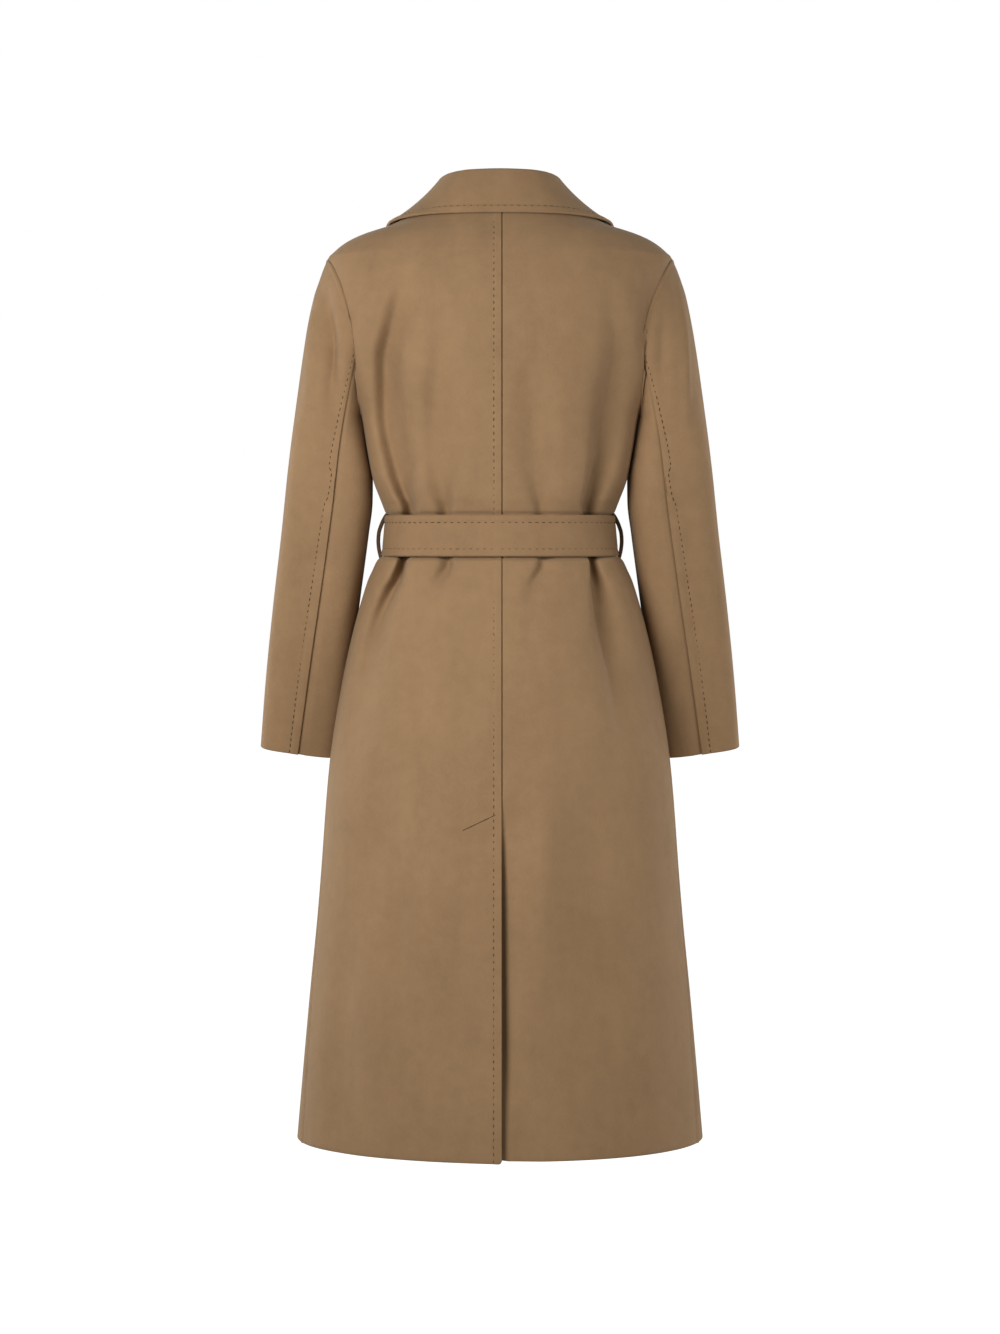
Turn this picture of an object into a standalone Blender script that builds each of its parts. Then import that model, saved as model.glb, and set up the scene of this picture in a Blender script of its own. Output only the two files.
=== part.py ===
"""Belted wool coat in its worn shape with no wearer in it, built as the pieces that are cut and sewn.

Metres, +Z up, +Y the way the wearer faces, +X the wearer's right. The origin is the middle of the
neck opening, at the height where the shoulder seams reach the neck. Each piece of cloth is a closed
wall that lies on one common form of the body or of the sleeve; neighbours stand a seam gap apart.

A place on the body form is an angle round the body and a height. The angle is 0 at the centre back,
90 degrees at the side and 180 degrees at the centre front, counted toward the panel's own side.
"""

from collections import namedtuple
import math

import bmesh
import bpy
import numpy as np

CLOTH = 0.0024
COLLAR_CLOTH = 0.0030
BELT_CLOTH = 0.0045
SEAM_GAP = 0.0003
SLEEVE_SEAM_GAP = 0.0008
LAYER_GAP = 0.0005

RIGHT = 1.0
LEFT = -1.0
BACK = -1.0
FRONT = 1.0

HEM = -1.120
UNDERARM = -0.262
SHOULDER_TIP = -0.072
NECK = 0.0
ARMHOLE_MIDDLE = (UNDERARM + SHOULDER_TIP) / 2.0
ARMHOLE_HALF_HEIGHT = (SHOULDER_TIP - UNDERARM) / 2.0
ARMHOLE_HALF_DEPTH = 0.074
ARMHOLE_STEPS = 12
SLEEVE_SEAM_STEP = 7

CENTRE_SEAM = 0.002
VENT_TOP = -0.735
VENT_FULL = -0.757
UNDERLAP = -0.045
VENT_RECESS = 0.0036
VENT_RECESS_STARTS = VENT_TOP + 0.030
VENT_RECESS_FULL = VENT_TOP - 0.004
VENT_RECESS_REACH = 0.055
VENT_RECESS_FLAT = 0.012

BELT_BOTTOM = -0.4275
BELT_TOP = -0.3785
BELT_MIDDLE = (BELT_BOTTOM + BELT_TOP) / 2.0
WAIST_TILT = 0.045
WAIST_TILT_REACH = 0.080
BELT_STEPS = 56
BELT_EASE = 0.0008
BELT_LAP_FADE = 0.030
BELT_CORNER = 0.0012
BELT_FLAT_EASE = 0.012

WOOL = (0.287, 0.174, 0.093, 1.0)
BELT_WOOL = (0.276, 0.166, 0.088, 1.0)
WOOL_ROUGHNESS = 0.92

Section = namedtuple("Section", "height half_width back_depth front_depth middle squareness")
BODY = (
    Section(0.0120, 0.0590, 0.0520, 0.0460, 0.000, 2.00),
    Section(0.0000, 0.0700, 0.0600, 0.0540, 0.000, 2.00),
    Section(-0.0120, 0.0920, 0.0685, 0.0600, 0.000, 2.00),
    Section(-0.0220, 0.1120, 0.0755, 0.0660, 0.000, 2.00),
    Section(-0.0330, 0.1340, 0.0820, 0.0720, 0.000, 2.00),
    Section(-0.0432, 0.1650, 0.0880, 0.0780, 0.000, 2.05),
    Section(-0.0504, 0.1810, 0.0920, 0.0820, 0.000, 2.10),
    Section(-0.0576, 0.1920, 0.0960, 0.0855, 0.000, 2.10),
    Section(-0.0648, 0.2000, 0.0990, 0.0890, 0.000, 2.15),
    Section(-0.0720, 0.2064, 0.1020, 0.0920, 0.000, 2.20),
    Section(-0.1000, 0.2050, 0.1100, 0.1020, 0.000, 2.50),
    Section(-0.1440, 0.1990, 0.1180, 0.1170, 0.000, 2.70),
    Section(-0.1760, 0.1930, 0.1210, 0.1260, 0.000, 2.70),
    Section(-0.2100, 0.1840, 0.1210, 0.1310, 0.000, 2.70),
    Section(-0.2400, 0.1740, 0.1190, 0.1320, 0.000, 2.60),
    Section(-0.2620, 0.1655, 0.1170, 0.1300, 0.000, 2.55),
    Section(-0.3050, 0.1580, 0.1120, 0.1230, 0.000, 2.45),
    Section(-0.3360, 0.1517, 0.1080, 0.1170, -0.001, 2.40),
    Section(-0.3600, 0.1432, 0.1045, 0.1120, -0.002, 2.35),
    Section(-0.3700, 0.1402, 0.1020, 0.1090, -0.002, 2.30),
    Section(-0.3750, 0.1375, 0.0995, 0.1060, -0.002, 2.30),
    Section(-0.3780, 0.1347, 0.0972, 0.1032, -0.002, 2.30),
    Section(-0.4030, 0.1345, 0.0970, 0.1030, -0.002, 2.30),
    Section(-0.4280, 0.1347, 0.0972, 0.1032, -0.002, 2.30),
    Section(-0.4310, 0.1410, 0.1020, 0.1050, -0.002, 2.30),
    Section(-0.4360, 0.1470, 0.1060, 0.1085, -0.003, 2.25),
    Section(-0.4450, 0.1525, 0.1095, 0.1135, -0.003, 2.20),
    Section(-0.4560, 0.1575, 0.1135, 0.1180, -0.003, 2.20),
    Section(-0.4800, 0.1656, 0.1210, 0.1240, -0.005, 2.15),
    Section(-0.5120, 0.1740, 0.1300, 0.1310, -0.007, 2.10),
    Section(-0.5710, 0.1862, 0.1420, 0.1400, -0.010, 2.10),
    Section(-0.6720, 0.2020, 0.1550, 0.1510, -0.012, 2.10),
    Section(-0.8160, 0.2140, 0.1680, 0.1640, -0.012, 2.10),
    Section(-0.9600, 0.2280, 0.1790, 0.1740, -0.012, 2.10),
    Section(-1.1200, 0.2420, 0.1900, 0.1840, -0.012, 2.10),
)

LOW_SKIRT_ROWS = 6
HIGH_SKIRT_HEIGHTS = (-0.672, -0.6187, -0.5653, -0.512, -0.489, -0.468, -0.454, -0.445)
WAIST_HEIGHTS = (-0.436, -0.431, -0.428, BELT_MIDDLE, -0.378, -0.375, -0.370)
CHEST_HEIGHTS = (-0.352, -0.322, -0.292)
SHOULDER_HEIGHTS = (-0.0648, -0.0576, -0.0504, -0.0432, -0.0330, -0.0220, -0.0120, NECK)

Seam = namedtuple("Seam", "height angle")
SIDE_SEAM = (
    Seam(-0.2620, 90.0),
    Seam(-0.4800, 90.0),
    Seam(-0.6720, 87.0),
    Seam(-0.8400, 82.0),
    Seam(-1.1200, 74.0),
)

Fold = namedtuple("Fold", "height across depth half_width")
BACK_DEEP_LEFT = (
    Fold(0.012, 0.038, 0.0000, 0.008),
    Fold(0.000, 0.046, 0.0000, 0.009),
    Fold(-0.033, 0.086, 0.0000, 0.014),
    Fold(-0.072, 0.110, 0.0000, 0.016),
    Fold(-0.110, 0.118, 0.0005, 0.016),
    Fold(-0.134, 0.124, 0.0035, 0.016),
    Fold(-0.200, 0.138, 0.0085, 0.016),
    Fold(-0.275, 0.133, 0.0100, 0.016),
    Fold(-0.325, 0.124, 0.0120, 0.015),
    Fold(-0.372, 0.109, 0.0150, 0.013),
    Fold(-0.403, 0.110, 0.0110, 0.011),
    Fold(-0.436, 0.114, 0.0160, 0.013),
    Fold(-0.454, 0.128, 0.0130, 0.015),
    Fold(-0.489, 0.144, 0.0090, 0.015),
    Fold(-0.530, 0.151, 0.0055, 0.016),
    Fold(-0.570, 0.157, 0.0030, 0.019),
    Fold(-0.660, 0.162, 0.0010, 0.025),
    Fold(-1.120, 0.178, 0.0000, 0.034),
)
BACK_SMALL_LEFT = (
    Fold(0.012, 0.016, 0.0000, 0.006),
    Fold(0.000, 0.020, 0.0000, 0.008),
    Fold(-0.033, 0.042, 0.0000, 0.012),
    Fold(-0.100, 0.066, 0.0000, 0.014),
    Fold(-0.185, 0.073, 0.0010, 0.015),
    Fold(-0.253, 0.074, 0.0030, 0.015),
    Fold(-0.327, 0.078, 0.0045, 0.014),
    Fold(-0.372, 0.068, 0.0065, 0.012),
    Fold(-0.403, 0.066, 0.0050, 0.011),
    Fold(-0.436, 0.066, 0.0070, 0.012),
    Fold(-0.457, 0.074, 0.0050, 0.013),
    Fold(-0.490, 0.080, 0.0020, 0.016),
    Fold(-0.600, 0.085, 0.0000, 0.022),
    Fold(-1.120, 0.100, 0.0000, 0.030),
)
BACK_DEEP_RIGHT = (
    Fold(0.012, 0.038, 0.0000, 0.008),
    Fold(0.000, 0.046, 0.0000, 0.009),
    Fold(-0.033, 0.086, 0.0000, 0.014),
    Fold(-0.072, 0.112, 0.0000, 0.017),
    Fold(-0.120, 0.124, 0.0000, 0.018),
    Fold(-0.185, 0.120, 0.0035, 0.019),
    Fold(-0.244, 0.106, 0.0075, 0.020),
    Fold(-0.305, 0.099, 0.0100, 0.018),
    Fold(-0.345, 0.101, 0.0120, 0.015),
    Fold(-0.372, 0.103, 0.0140, 0.013),
    Fold(-0.403, 0.106, 0.0110, 0.011),
    Fold(-0.436, 0.110, 0.0160, 0.013),
    Fold(-0.468, 0.115, 0.0130, 0.015),
    Fold(-0.522, 0.120, 0.0080, 0.018),
    Fold(-0.563, 0.142, 0.0050, 0.020),
    Fold(-0.620, 0.150, 0.0025, 0.024),
    Fold(-0.720, 0.160, 0.0005, 0.028),
    Fold(-1.120, 0.178, 0.0000, 0.034),
)
BACK_SMALL_RIGHT = (
    Fold(0.012, 0.016, 0.0000, 0.006),
    Fold(0.000, 0.020, 0.0000, 0.008),
    Fold(-0.033, 0.034, 0.0000, 0.011),
    Fold(-0.100, 0.046, 0.0000, 0.013),
    Fold(-0.189, 0.046, 0.0015, 0.014),
    Fold(-0.229, 0.036, 0.0035, 0.014),
    Fold(-0.258, 0.030, 0.0045, 0.013),
    Fold(-0.327, 0.038, 0.0045, 0.012),
    Fold(-0.372, 0.043, 0.0065, 0.011),
    Fold(-0.403, 0.046, 0.0050, 0.011),
    Fold(-0.436, 0.046, 0.0070, 0.012),
    Fold(-0.460, 0.034, 0.0050, 0.013),
    Fold(-0.500, 0.032, 0.0020, 0.015),
    Fold(-0.600, 0.045, 0.0000, 0.020),
    Fold(-1.120, 0.075, 0.0000, 0.028),
)
FRONT_FOLD = (
    Fold(0.012, 0.0540, 0.0000, 0.0020),
    Fold(0.000, 0.0640, 0.0000, 0.0025),
    Fold(-0.012, 0.0800, 0.0000, 0.0060),
    Fold(-0.033, 0.1000, 0.0000, 0.0120),
    Fold(-0.072, 0.1220, 0.0000, 0.0160),
    Fold(-0.150, 0.1240, 0.0000, 0.0180),
    Fold(-0.260, 0.1200, 0.0040, 0.0170),
    Fold(-0.330, 0.1100, 0.0085, 0.0160),
    Fold(-0.368, 0.1030, 0.0130, 0.0130),
    Fold(-0.403, 0.1020, 0.0100, 0.0110),
    Fold(-0.438, 0.1070, 0.0140, 0.0140),
    Fold(-0.490, 0.1180, 0.0080, 0.0170),
    Fold(-0.560, 0.1300, 0.0030, 0.0220),
    Fold(-0.700, 0.1420, 0.0000, 0.0280),
    Fold(-1.120, 0.1700, 0.0000, 0.0340),
)
SMALL_FOLD_PLACES = (-1.0, 0.0, 1.0)
DEEP_FOLD_PLACES = (-1.0, -0.45, 0.0, 0.45, 1.0)
BACK_SIDE_SHARES = (0.36, 0.70, 1.0)
FRONT_SIDE_SHARES = (0.34, 0.68, 1.0)
FOLD_SHARPNESS = 1.6
FOLD_RIDGE = 0.35
FOLD_RIDGE_PLACE = 1.1
FOLD_RIDGE_SHARPNESS = 2.2

FrontEdge = namedtuple("FrontEdge", "height edge lap")
FRONT_EDGE = (
    FrontEdge(0.012, 0.0470, 0.0495),
    FrontEdge(0.000, 0.0570, 0.0595),
    FrontEdge(-0.030, 0.0505, 0.0660),
    FrontEdge(-0.060, 0.0425, 0.0660),
    FrontEdge(-0.100, 0.0275, 0.0540),
    FrontEdge(-0.180, -0.0040, 0.0360),
    FrontEdge(-0.260, -0.0390, 0.0450),
    FrontEdge(-0.335, -0.0720, 0.0740),
    FrontEdge(-0.370, -0.0750, 0.0750),
    FrontEdge(-0.403, -0.0760, 0.0760),
    FrontEdge(-0.480, -0.0790, 0.0790),
    FrontEdge(-1.120, -0.1050, 0.1050),
)
LAP_MARGIN = 0.004
LAP_COLUMNS = 5
LAPEL_ROLL_GAP = 0.0008
LAPEL_EDGE_GAP = 0.0024
CHEST_LAP = 0.0090
SKIRT_LAP = 0.0036
LAP_STARTS = (-0.100, -0.160)
LAP_THINS = (-0.350, -0.378)

LapelRow = namedtuple("LapelRow", "share roll_height edge_across edge_height")
LAPEL = (
    LapelRow(0.00, -0.0600, 0.1280, -0.1270),
    LapelRow(0.25, -0.1250, 0.1230, -0.1780),
    LapelRow(0.50, -0.1900, 0.0960, -0.2320),
    LapelRow(0.75, -0.2580, 0.0480, -0.2830),
    LapelRow(1.00, -0.3270, -0.0580, -0.3320),
)
LAPEL_ROWS = 12
LAPEL_COLUMNS = 7

SleeveSection = namedtuple("SleeveSection", "height outer inner middle half_depth")
SLEEVE = (
    SleeveSection(-0.0640, 0.2000, 0.1660, 0.000, 0.0740),
    SleeveSection(-0.0720, 0.2064, 0.1660, 0.000, 0.0740),
    SleeveSection(-0.0792, 0.2100, 0.1660, 0.000, 0.0740),
    SleeveSection(-0.0864, 0.2130, 0.1660, 0.000, 0.0740),
    SleeveSection(-0.1008, 0.2180, 0.1660, 0.000, 0.0740),
    SleeveSection(-0.1152, 0.2226, 0.1660, 0.000, 0.0740),
    SleeveSection(-0.1440, 0.2288, 0.1660, 0.000, 0.0740),
    SleeveSection(-0.1920, 0.2370, 0.1660, 0.000, 0.0730),
    SleeveSection(-0.2400, 0.2436, 0.1660, 0.000, 0.0715),
    SleeveSection(-0.2620, 0.2462, 0.1660, 0.000, 0.0700),
    SleeveSection(-0.3050, 0.2512, 0.1587, 0.001, 0.0655),
    SleeveSection(-0.3360, 0.2550, 0.1523, 0.002, 0.0625),
    SleeveSection(-0.3600, 0.2576, 0.1533, 0.004, 0.0600),
    SleeveSection(-0.4000, 0.2620, 0.1588, 0.008, 0.0565),
    SleeveSection(-0.4800, 0.2722, 0.1696, 0.020, 0.0530),
    SleeveSection(-0.5710, 0.2826, 0.1820, 0.036, 0.0495),
    SleeveSection(-0.6620, 0.2910, 0.1940, 0.052, 0.0465),
    SleeveSection(-0.6850, 0.2930, 0.1970, 0.056, 0.0460),
)
CUFF_HEIGHT = -0.6622
CUFF_TILT_OUT = 0.130
CUFF_TILT_FRONT = 0.120
CUFF_HIND_SEAM = math.radians(-83.0)
CUFF_FORE_SEAM = math.radians(130.0)
SEAM_SWING = 3.0
CAP_ROUNDNESS = 0.30
CAP_TURN_POWER = 12
CAP_FIT_POWER = 8
SLEEVE_ROWS = 17
SLEEVE_ROW_CROWDING = 1.5
CAP_SEAM_WAY = (0.5, 0.0, -1.0)
CAP_CONVEX_STARTS = -0.85
CAP_CONVEX_FULL = -0.35

Station = namedtuple("Station", "place seam fold edge_across edge_height edge_face")
COLLAR = (
    Station(0.00, (0.0000, -0.0572, 0.0008), (0.0000, -0.0640, 0.0270), 0.0000, -0.0300, BACK),
    Station(0.20, (0.0300, -0.0515, 0.0008), (0.0350, -0.0580, 0.0268), 0.0470, -0.0298, BACK),
    Station(0.40, (0.0560, -0.0335, 0.0008), (0.0625, -0.0360, 0.0258), 0.0930, -0.0295, BACK),
    Station(0.55, (0.0668, -0.0040, 0.0008), (0.0740, -0.0040, 0.0228), 0.1310, -0.0322, BACK),
    Station(0.70, (0.0535, 0.0290, 0.0008), (0.0590, 0.0330, 0.0150), 0.1390, -0.0540, FRONT),
    Station(0.85, (0.0485, 0.0640, -0.0290), (0.0420, 0.0690, -0.0200), 0.1320, -0.0810, FRONT),
    Station(1.00, (0.0428, 0.0810, -0.0515), (0.0385, 0.0850, -0.0480), 0.1120, -0.1030, FRONT),
)
COLLAR_STEPS = 28
COLLAR_ROLL = 0.0045
COLLAR_EDGE_LIFT = 0.0045
COLLAR_ROOM = 0.0050
COLLAR_PUSH_EASE = 0.0006
COLLAR_DROP = 0.40
COLLAR_FLARE = 0.80
COLLAR_STAND_STEPS = 3
COLLAR_ROLL_STEPS = 4
COLLAR_FALL_STEPS = 5

KNOT_HALF_SIZE = (0.0235, 0.0100, 0.0270)
KNOT_ACROSS = -0.006
KNOT_SQUARENESS = 0.62
KNOT_TILT = math.radians(8.0)

BeltEnd = namedtuple("BeltEnd", "name top_across bottom_across bottom layer")
BELT_ENDS = (
    BeltEnd("belt_end_left", -0.012, -0.064, -0.815, 0.0),
    BeltEnd("belt_end_right", 0.000, 0.046, -0.770, 0.0053),
)
BELT_END_TOP = -0.4325
BELT_END_WIDTH = 0.046
BELT_END_ROWS = 14
BELT_END_COLUMNS = 3
BELT_END_EASE = 0.0008
BELT_END_KNOT_REACH = 0.0030
BELT_END_KNOT_FREE = -0.480
BELT_END_PARTED = (-0.590, -0.680)

LoopPoint = namedtuple("LoopPoint", "across height")
LOOP = (
    LoopPoint(0.1416, -0.3722),
    LoopPoint(0.1438, -0.3785),
    LoopPoint(0.1466, -0.3880),
    LoopPoint(0.1484, -0.4030),
    LoopPoint(0.1484, -0.4150),
    LoopPoint(0.1474, -0.4250),
    LoopPoint(0.1468, -0.4325),
)
LOOP_CLOTH = 0.0022
LOOP_WIDTH = 0.0090

ANGLE_STEP = 0.002
HEIGHT_STEP = 0.0005
SLEEVE_HEIGHT_STEP = 0.0001
PUSH_ROUNDS = 3
LEAST_ROOM = 1e-9
LEAST_TURN = 1e-4
RING_INSET = 1e-7


def smooth_curve(knots, values, at):
    """Cubic that passes through the values without overshoot, read at the places at."""
    knots = np.asarray(knots, float)
    values = np.asarray(values, float)
    at = np.clip(np.asarray(at, float), knots[0], knots[-1])
    step = np.diff(knots)
    rise = np.diff(values) / step
    slope = np.zeros_like(values)
    slope[0] = rise[0]
    slope[-1] = rise[-1]
    product = rise[:-1] * rise[1:]
    total = np.where(product > 0.0, rise[:-1] + rise[1:], 1.0)
    slope[1:-1] = np.where(product > 0.0, 2.0 * product / total, 0.0)
    cell = np.clip(np.searchsorted(knots, at, side="right") - 1, 0, len(step) - 1)
    share = (at - knots[cell]) / step[cell]
    back = 1.0 - share
    return (values[cell] * (1.0 + 2.0 * share) * back ** 2
            + values[cell + 1] * (3.0 - 2.0 * share) * share ** 2
            + step[cell] * share * back * (slope[cell] * back - slope[cell + 1] * share))


def column(table, name, height):
    """One named column of a table, read smoothly at the given heights."""
    rows = sorted(table, key=lambda row: row.height)
    return smooth_curve([row.height for row in rows], [getattr(row, name) for row in rows], height)


def soft_step(value, start, end):
    """0 at start, 1 at end, with an even ease between them."""
    share = np.clip((value - start) / (end - start), 0.0, 1.0)
    return share * share * (3.0 - 2.0 * share)


def unit(vectors):
    """Vectors along the last axis, made one long."""
    return vectors / np.linalg.norm(vectors, axis=-1, keepdims=True)


def signed_power(value, power):
    """Power of the size of a value, with the value's own sign."""
    return np.sign(value) * np.abs(value) ** power


def body_point(side, angle, height, lift):
    """Point on the body form, moved out level by lift(across, height)."""
    width = column(BODY, "half_width", height)
    power = column(BODY, "squareness", height)
    sine = np.sin(angle)
    cosine = np.cos(angle)
    back = column(BODY, "back_depth", height)
    front = column(BODY, "front_depth", height)
    depth = np.where(cosine > 0.0, back, front)
    wide = signed_power(sine, 2.0 / power)
    deep = signed_power(cosine, 2.0 / power)
    out_x = signed_power(wide, power - 1.0) / width
    out_y = -signed_power(deep, power - 1.0) / depth
    size = np.hypot(out_x, out_y)
    out = lift(width * wide, height)
    x = width * wide + out * out_x / size
    y = column(BODY, "middle", height) - depth * deep + out * out_y / size
    return np.stack([side * x, y, height + waist_rise(y, height)], axis=-1)


def waist_rise(y, height):
    """How much the waist sits higher in front and lower behind."""
    return WAIST_TILT * y * np.exp(-((height - BELT_MIDDLE) / WAIST_TILT_REACH) ** 2)


def body_outward(side, angle, height, lift):
    """Outward normal of the lifted body form, from small steps round and up."""
    ahead = body_point(side, angle + ANGLE_STEP, height, lift)
    behind = body_point(side, angle - ANGLE_STEP, height, lift)
    above = body_point(side, angle, height + HEIGHT_STEP, lift)
    below = body_point(side, angle, height - HEIGHT_STEP, lift)
    return unit(np.cross(ahead - behind, above - below)) * side


def angle_at(across, height, face):
    """Angle round the body of the place at a distance across, on the back or the front."""
    width = column(BODY, "half_width", height)
    power = column(BODY, "squareness", height)
    share = np.clip(across / width, -1.0, 1.0)
    angle = np.arcsin(signed_power(share, power / 2.0))
    return angle if face == BACK else math.pi - angle


def armhole_depth(height):
    """Half the armhole's depth, front to back, at a height."""
    share = np.clip((height - ARMHOLE_MIDDLE) / ARMHOLE_HALF_HEIGHT, -1.0, 1.0)
    return ARMHOLE_HALF_DEPTH * np.sqrt(1.0 - share ** 2)


def side_angle(height, face):
    """Angle of a panel's side edge: side seam, then armhole, then shoulder seam."""
    power = column(BODY, "squareness", height)
    depth = column(BODY, "back_depth" if face == BACK else "front_depth", height)
    deep = (armhole_depth(height) / depth) ** (power / 2.0)
    armhole = np.arccos(deep) if face == BACK else math.pi - np.arccos(deep)
    seam = np.radians(column(SIDE_SEAM, "angle", height))
    in_armhole = (height > UNDERARM) & (height < SHOULDER_TIP)
    return np.where(in_armhole, armhole, np.where(height <= UNDERARM, seam, math.pi / 2.0))


def fold_lift(table, across, height):
    """Trough of a fold with a soft ridge on each side of it."""
    place = (across - column(table, "across", height)) / column(table, "half_width", height)
    trough = np.exp(-(FOLD_SHARPNESS * place) ** 2)
    ridge = np.exp(-(FOLD_RIDGE_SHARPNESS * (np.abs(place) - FOLD_RIDGE_PLACE)) ** 2)
    return -column(table, "depth", height) * (trough - FOLD_RIDGE * ridge * off_belt(height))


def off_belt(height):
    """1 away from the belt and 0 under it, where the cloth lies flat."""
    above = soft_step(height, BELT_TOP, BELT_TOP + BELT_FLAT_EASE)
    below = soft_step(height, BELT_BOTTOM, BELT_BOTTOM - BELT_FLAT_EASE)
    return np.maximum(above, below)


def back_left_lift(across, height):
    """Folds of the left back panel."""
    return fold_lift(BACK_DEEP_LEFT, across, height) + fold_lift(BACK_SMALL_LEFT, across, height)


def back_right_lift(across, height):
    """Folds, and the recess that lets the vent's underlap lie behind the left panel."""
    folds = fold_lift(BACK_DEEP_RIGHT, across, height) + fold_lift(BACK_SMALL_RIGHT, across, height)
    recess = VENT_RECESS * soft_step(height, VENT_RECESS_STARTS, VENT_RECESS_FULL)
    return folds - recess * soft_step(across, VENT_RECESS_REACH, VENT_RECESS_FLAT)


def front_under_lift(across, height):
    """Fold of the front that lies under the other one."""
    return fold_lift(FRONT_FOLD, across, height)


def front_over_lift(across, height):
    """Folds, and the step over the other front and its lapel."""
    lap = column(FRONT_EDGE, "lap", height)
    chest = CHEST_LAP * soft_step(height, *LAP_STARTS)
    layer = chest + (SKIRT_LAP - CHEST_LAP) * soft_step(height, *LAP_THINS)
    fold_start = column(FRONT_FOLD, "across", height) - column(FRONT_FOLD, "half_width", height)
    ramp = np.clip((fold_start - across) / (fold_start - lap - LAP_MARGIN), 0.0, 1.0)
    return fold_lift(FRONT_FOLD, across, height) + layer * ramp


def plain_lift(across, height):
    """The bare body form."""
    return np.zeros_like(across)


def body_rows():
    """Heights of the panel rows from the hem up, with rows on the vent, the belt and the armhole."""
    low_skirt = np.linspace(HEM, VENT_FULL, LOW_SKIRT_ROWS)
    turns = np.linspace(math.pi, 0.0, ARMHOLE_STEPS + 1)
    armhole = ARMHOLE_MIDDLE + ARMHOLE_HALF_HEIGHT * np.cos(turns)
    return np.concatenate([low_skirt, [VENT_TOP], HIGH_SKIRT_HEIGHTS, WAIST_HEIGHTS, CHEST_HEIGHTS,
                           armhole, SHOULDER_HEIGHTS])


def fold_columns(table, height, places):
    """Distances across of the columns that follow one fold."""
    middle = column(table, "across", height)
    half = column(table, "half_width", height)
    return [middle + place * half for place in places]


def side_columns(last, edge, shares):
    """Angles between the last fold column and the panel's side edge."""
    return [last + share * (edge - last) for share in shares]


def trimmed(points, gap):
    """Grid of points with its four edges drawn in by half the gap."""
    points = points.copy()
    half = gap / 2.0
    points[:, 0] += half * unit(points[:, 1] - points[:, 0])
    points[:, -1] += half * unit(points[:, -2] - points[:, -1])
    points[0] += half * unit(points[1] - points[0])
    points[-1] += half * unit(points[-2] - points[-1])
    return points


def material(name, colour):
    """Wool of one piece in a plain colour."""
    made = bpy.data.materials.new(name + "_wool")
    made.use_nodes = True
    shader = made.node_tree.nodes["Principled BSDF"]
    shader.inputs["Base Color"].default_value = colour
    shader.inputs["Roughness"].default_value = WOOL_ROUGHNESS
    shader.inputs["Metallic"].default_value = 0.0
    made.diffuse_color = colour
    return made


def add_object(name, points, faces, colour):
    """Closed mesh object of four-cornered faces, turned outward."""
    points = np.asarray(points, float)
    faces = np.asarray(faces)
    first, second, third, fourth = (points[faces[:, corner]] for corner in range(4))
    volume = np.sum(first * np.cross(second, third)) + np.sum(first * np.cross(third, fourth))
    if volume < 0.0:
        faces = faces[:, ::-1]
    mesh = bpy.data.meshes.new(name)
    mesh.from_pydata(points.tolist(), [], faces.tolist())
    mesh.update()
    made = bpy.data.objects.new(name, mesh)
    made.data.materials.append(material(name, colour))
    bpy.context.scene.collection.objects.link(made)
    return made


def add_wall(name, outer, inner, colour):
    """Cloth wall between an outer and an inner grid of points of the same shape."""
    rows, columns = outer.shape[:2]
    count = rows * columns
    index = np.arange(count).reshape(rows, columns)
    corners = (index[:-1, :-1], index[:-1, 1:], index[1:, 1:], index[1:, :-1])
    quads = np.stack(corners, axis=-1).reshape(-1, 4)
    rim = np.concatenate([index[0, :-1], index[:-1, -1], index[-1, :0:-1], index[:0:-1, 0]])
    following = np.roll(rim, -1)
    edge = np.stack([following, rim, rim + count, following + count], axis=-1)
    faces = np.concatenate([quads, quads[:, ::-1] + count, edge])
    points = np.concatenate([outer.reshape(-1, 3), inner.reshape(-1, 3)])
    return add_object(name, points, faces, colour)


def add_panel(name, side, angles, heights, lift):
    """Body panel on a grid of angles (rows, columns) at the row heights."""
    heights = np.broadcast_to(heights[:, None], angles.shape)
    outer = trimmed(body_point(side, angles, heights, lift), SEAM_GAP)
    inner = outer - CLOTH * body_outward(side, angles, heights, lift)
    return add_wall(name, outer, inner, WOOL)


def add_back(name, side, deep, small, lift, centre):
    """Back panel: columns from the centre seam over the two folds to the side edge."""
    heights = body_rows()
    small_columns = fold_columns(small, heights, SMALL_FOLD_PLACES)
    deep_columns = fold_columns(deep, heights, DEEP_FOLD_PLACES)
    across = [centre, (centre + small_columns[0]) / 2.0]
    across += small_columns
    across += [(small_columns[-1] + deep_columns[0]) / 2.0]
    across += deep_columns
    angles = [angle_at(place, heights, BACK) for place in across]
    edge = side_angle(heights, BACK)
    angles += side_columns(angles[-1], edge, BACK_SIDE_SHARES)
    return add_panel(name, side, np.stack(angles, axis=1), heights, lift)


def add_backs():
    """Both back panels; below the vent's top the right one reaches behind the left one."""
    heights = body_rows()
    left_centre = np.full_like(heights, -CENTRE_SEAM)
    opened = soft_step(heights, VENT_TOP, VENT_FULL)
    right_centre = CENTRE_SEAM + (UNDERLAP - CENTRE_SEAM) * opened
    add_back("back_left", LEFT, BACK_DEEP_LEFT, BACK_SMALL_LEFT, back_left_lift, left_centre)
    add_back("back_right", RIGHT, BACK_DEEP_RIGHT, BACK_SMALL_RIGHT, back_right_lift, right_centre)


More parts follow.
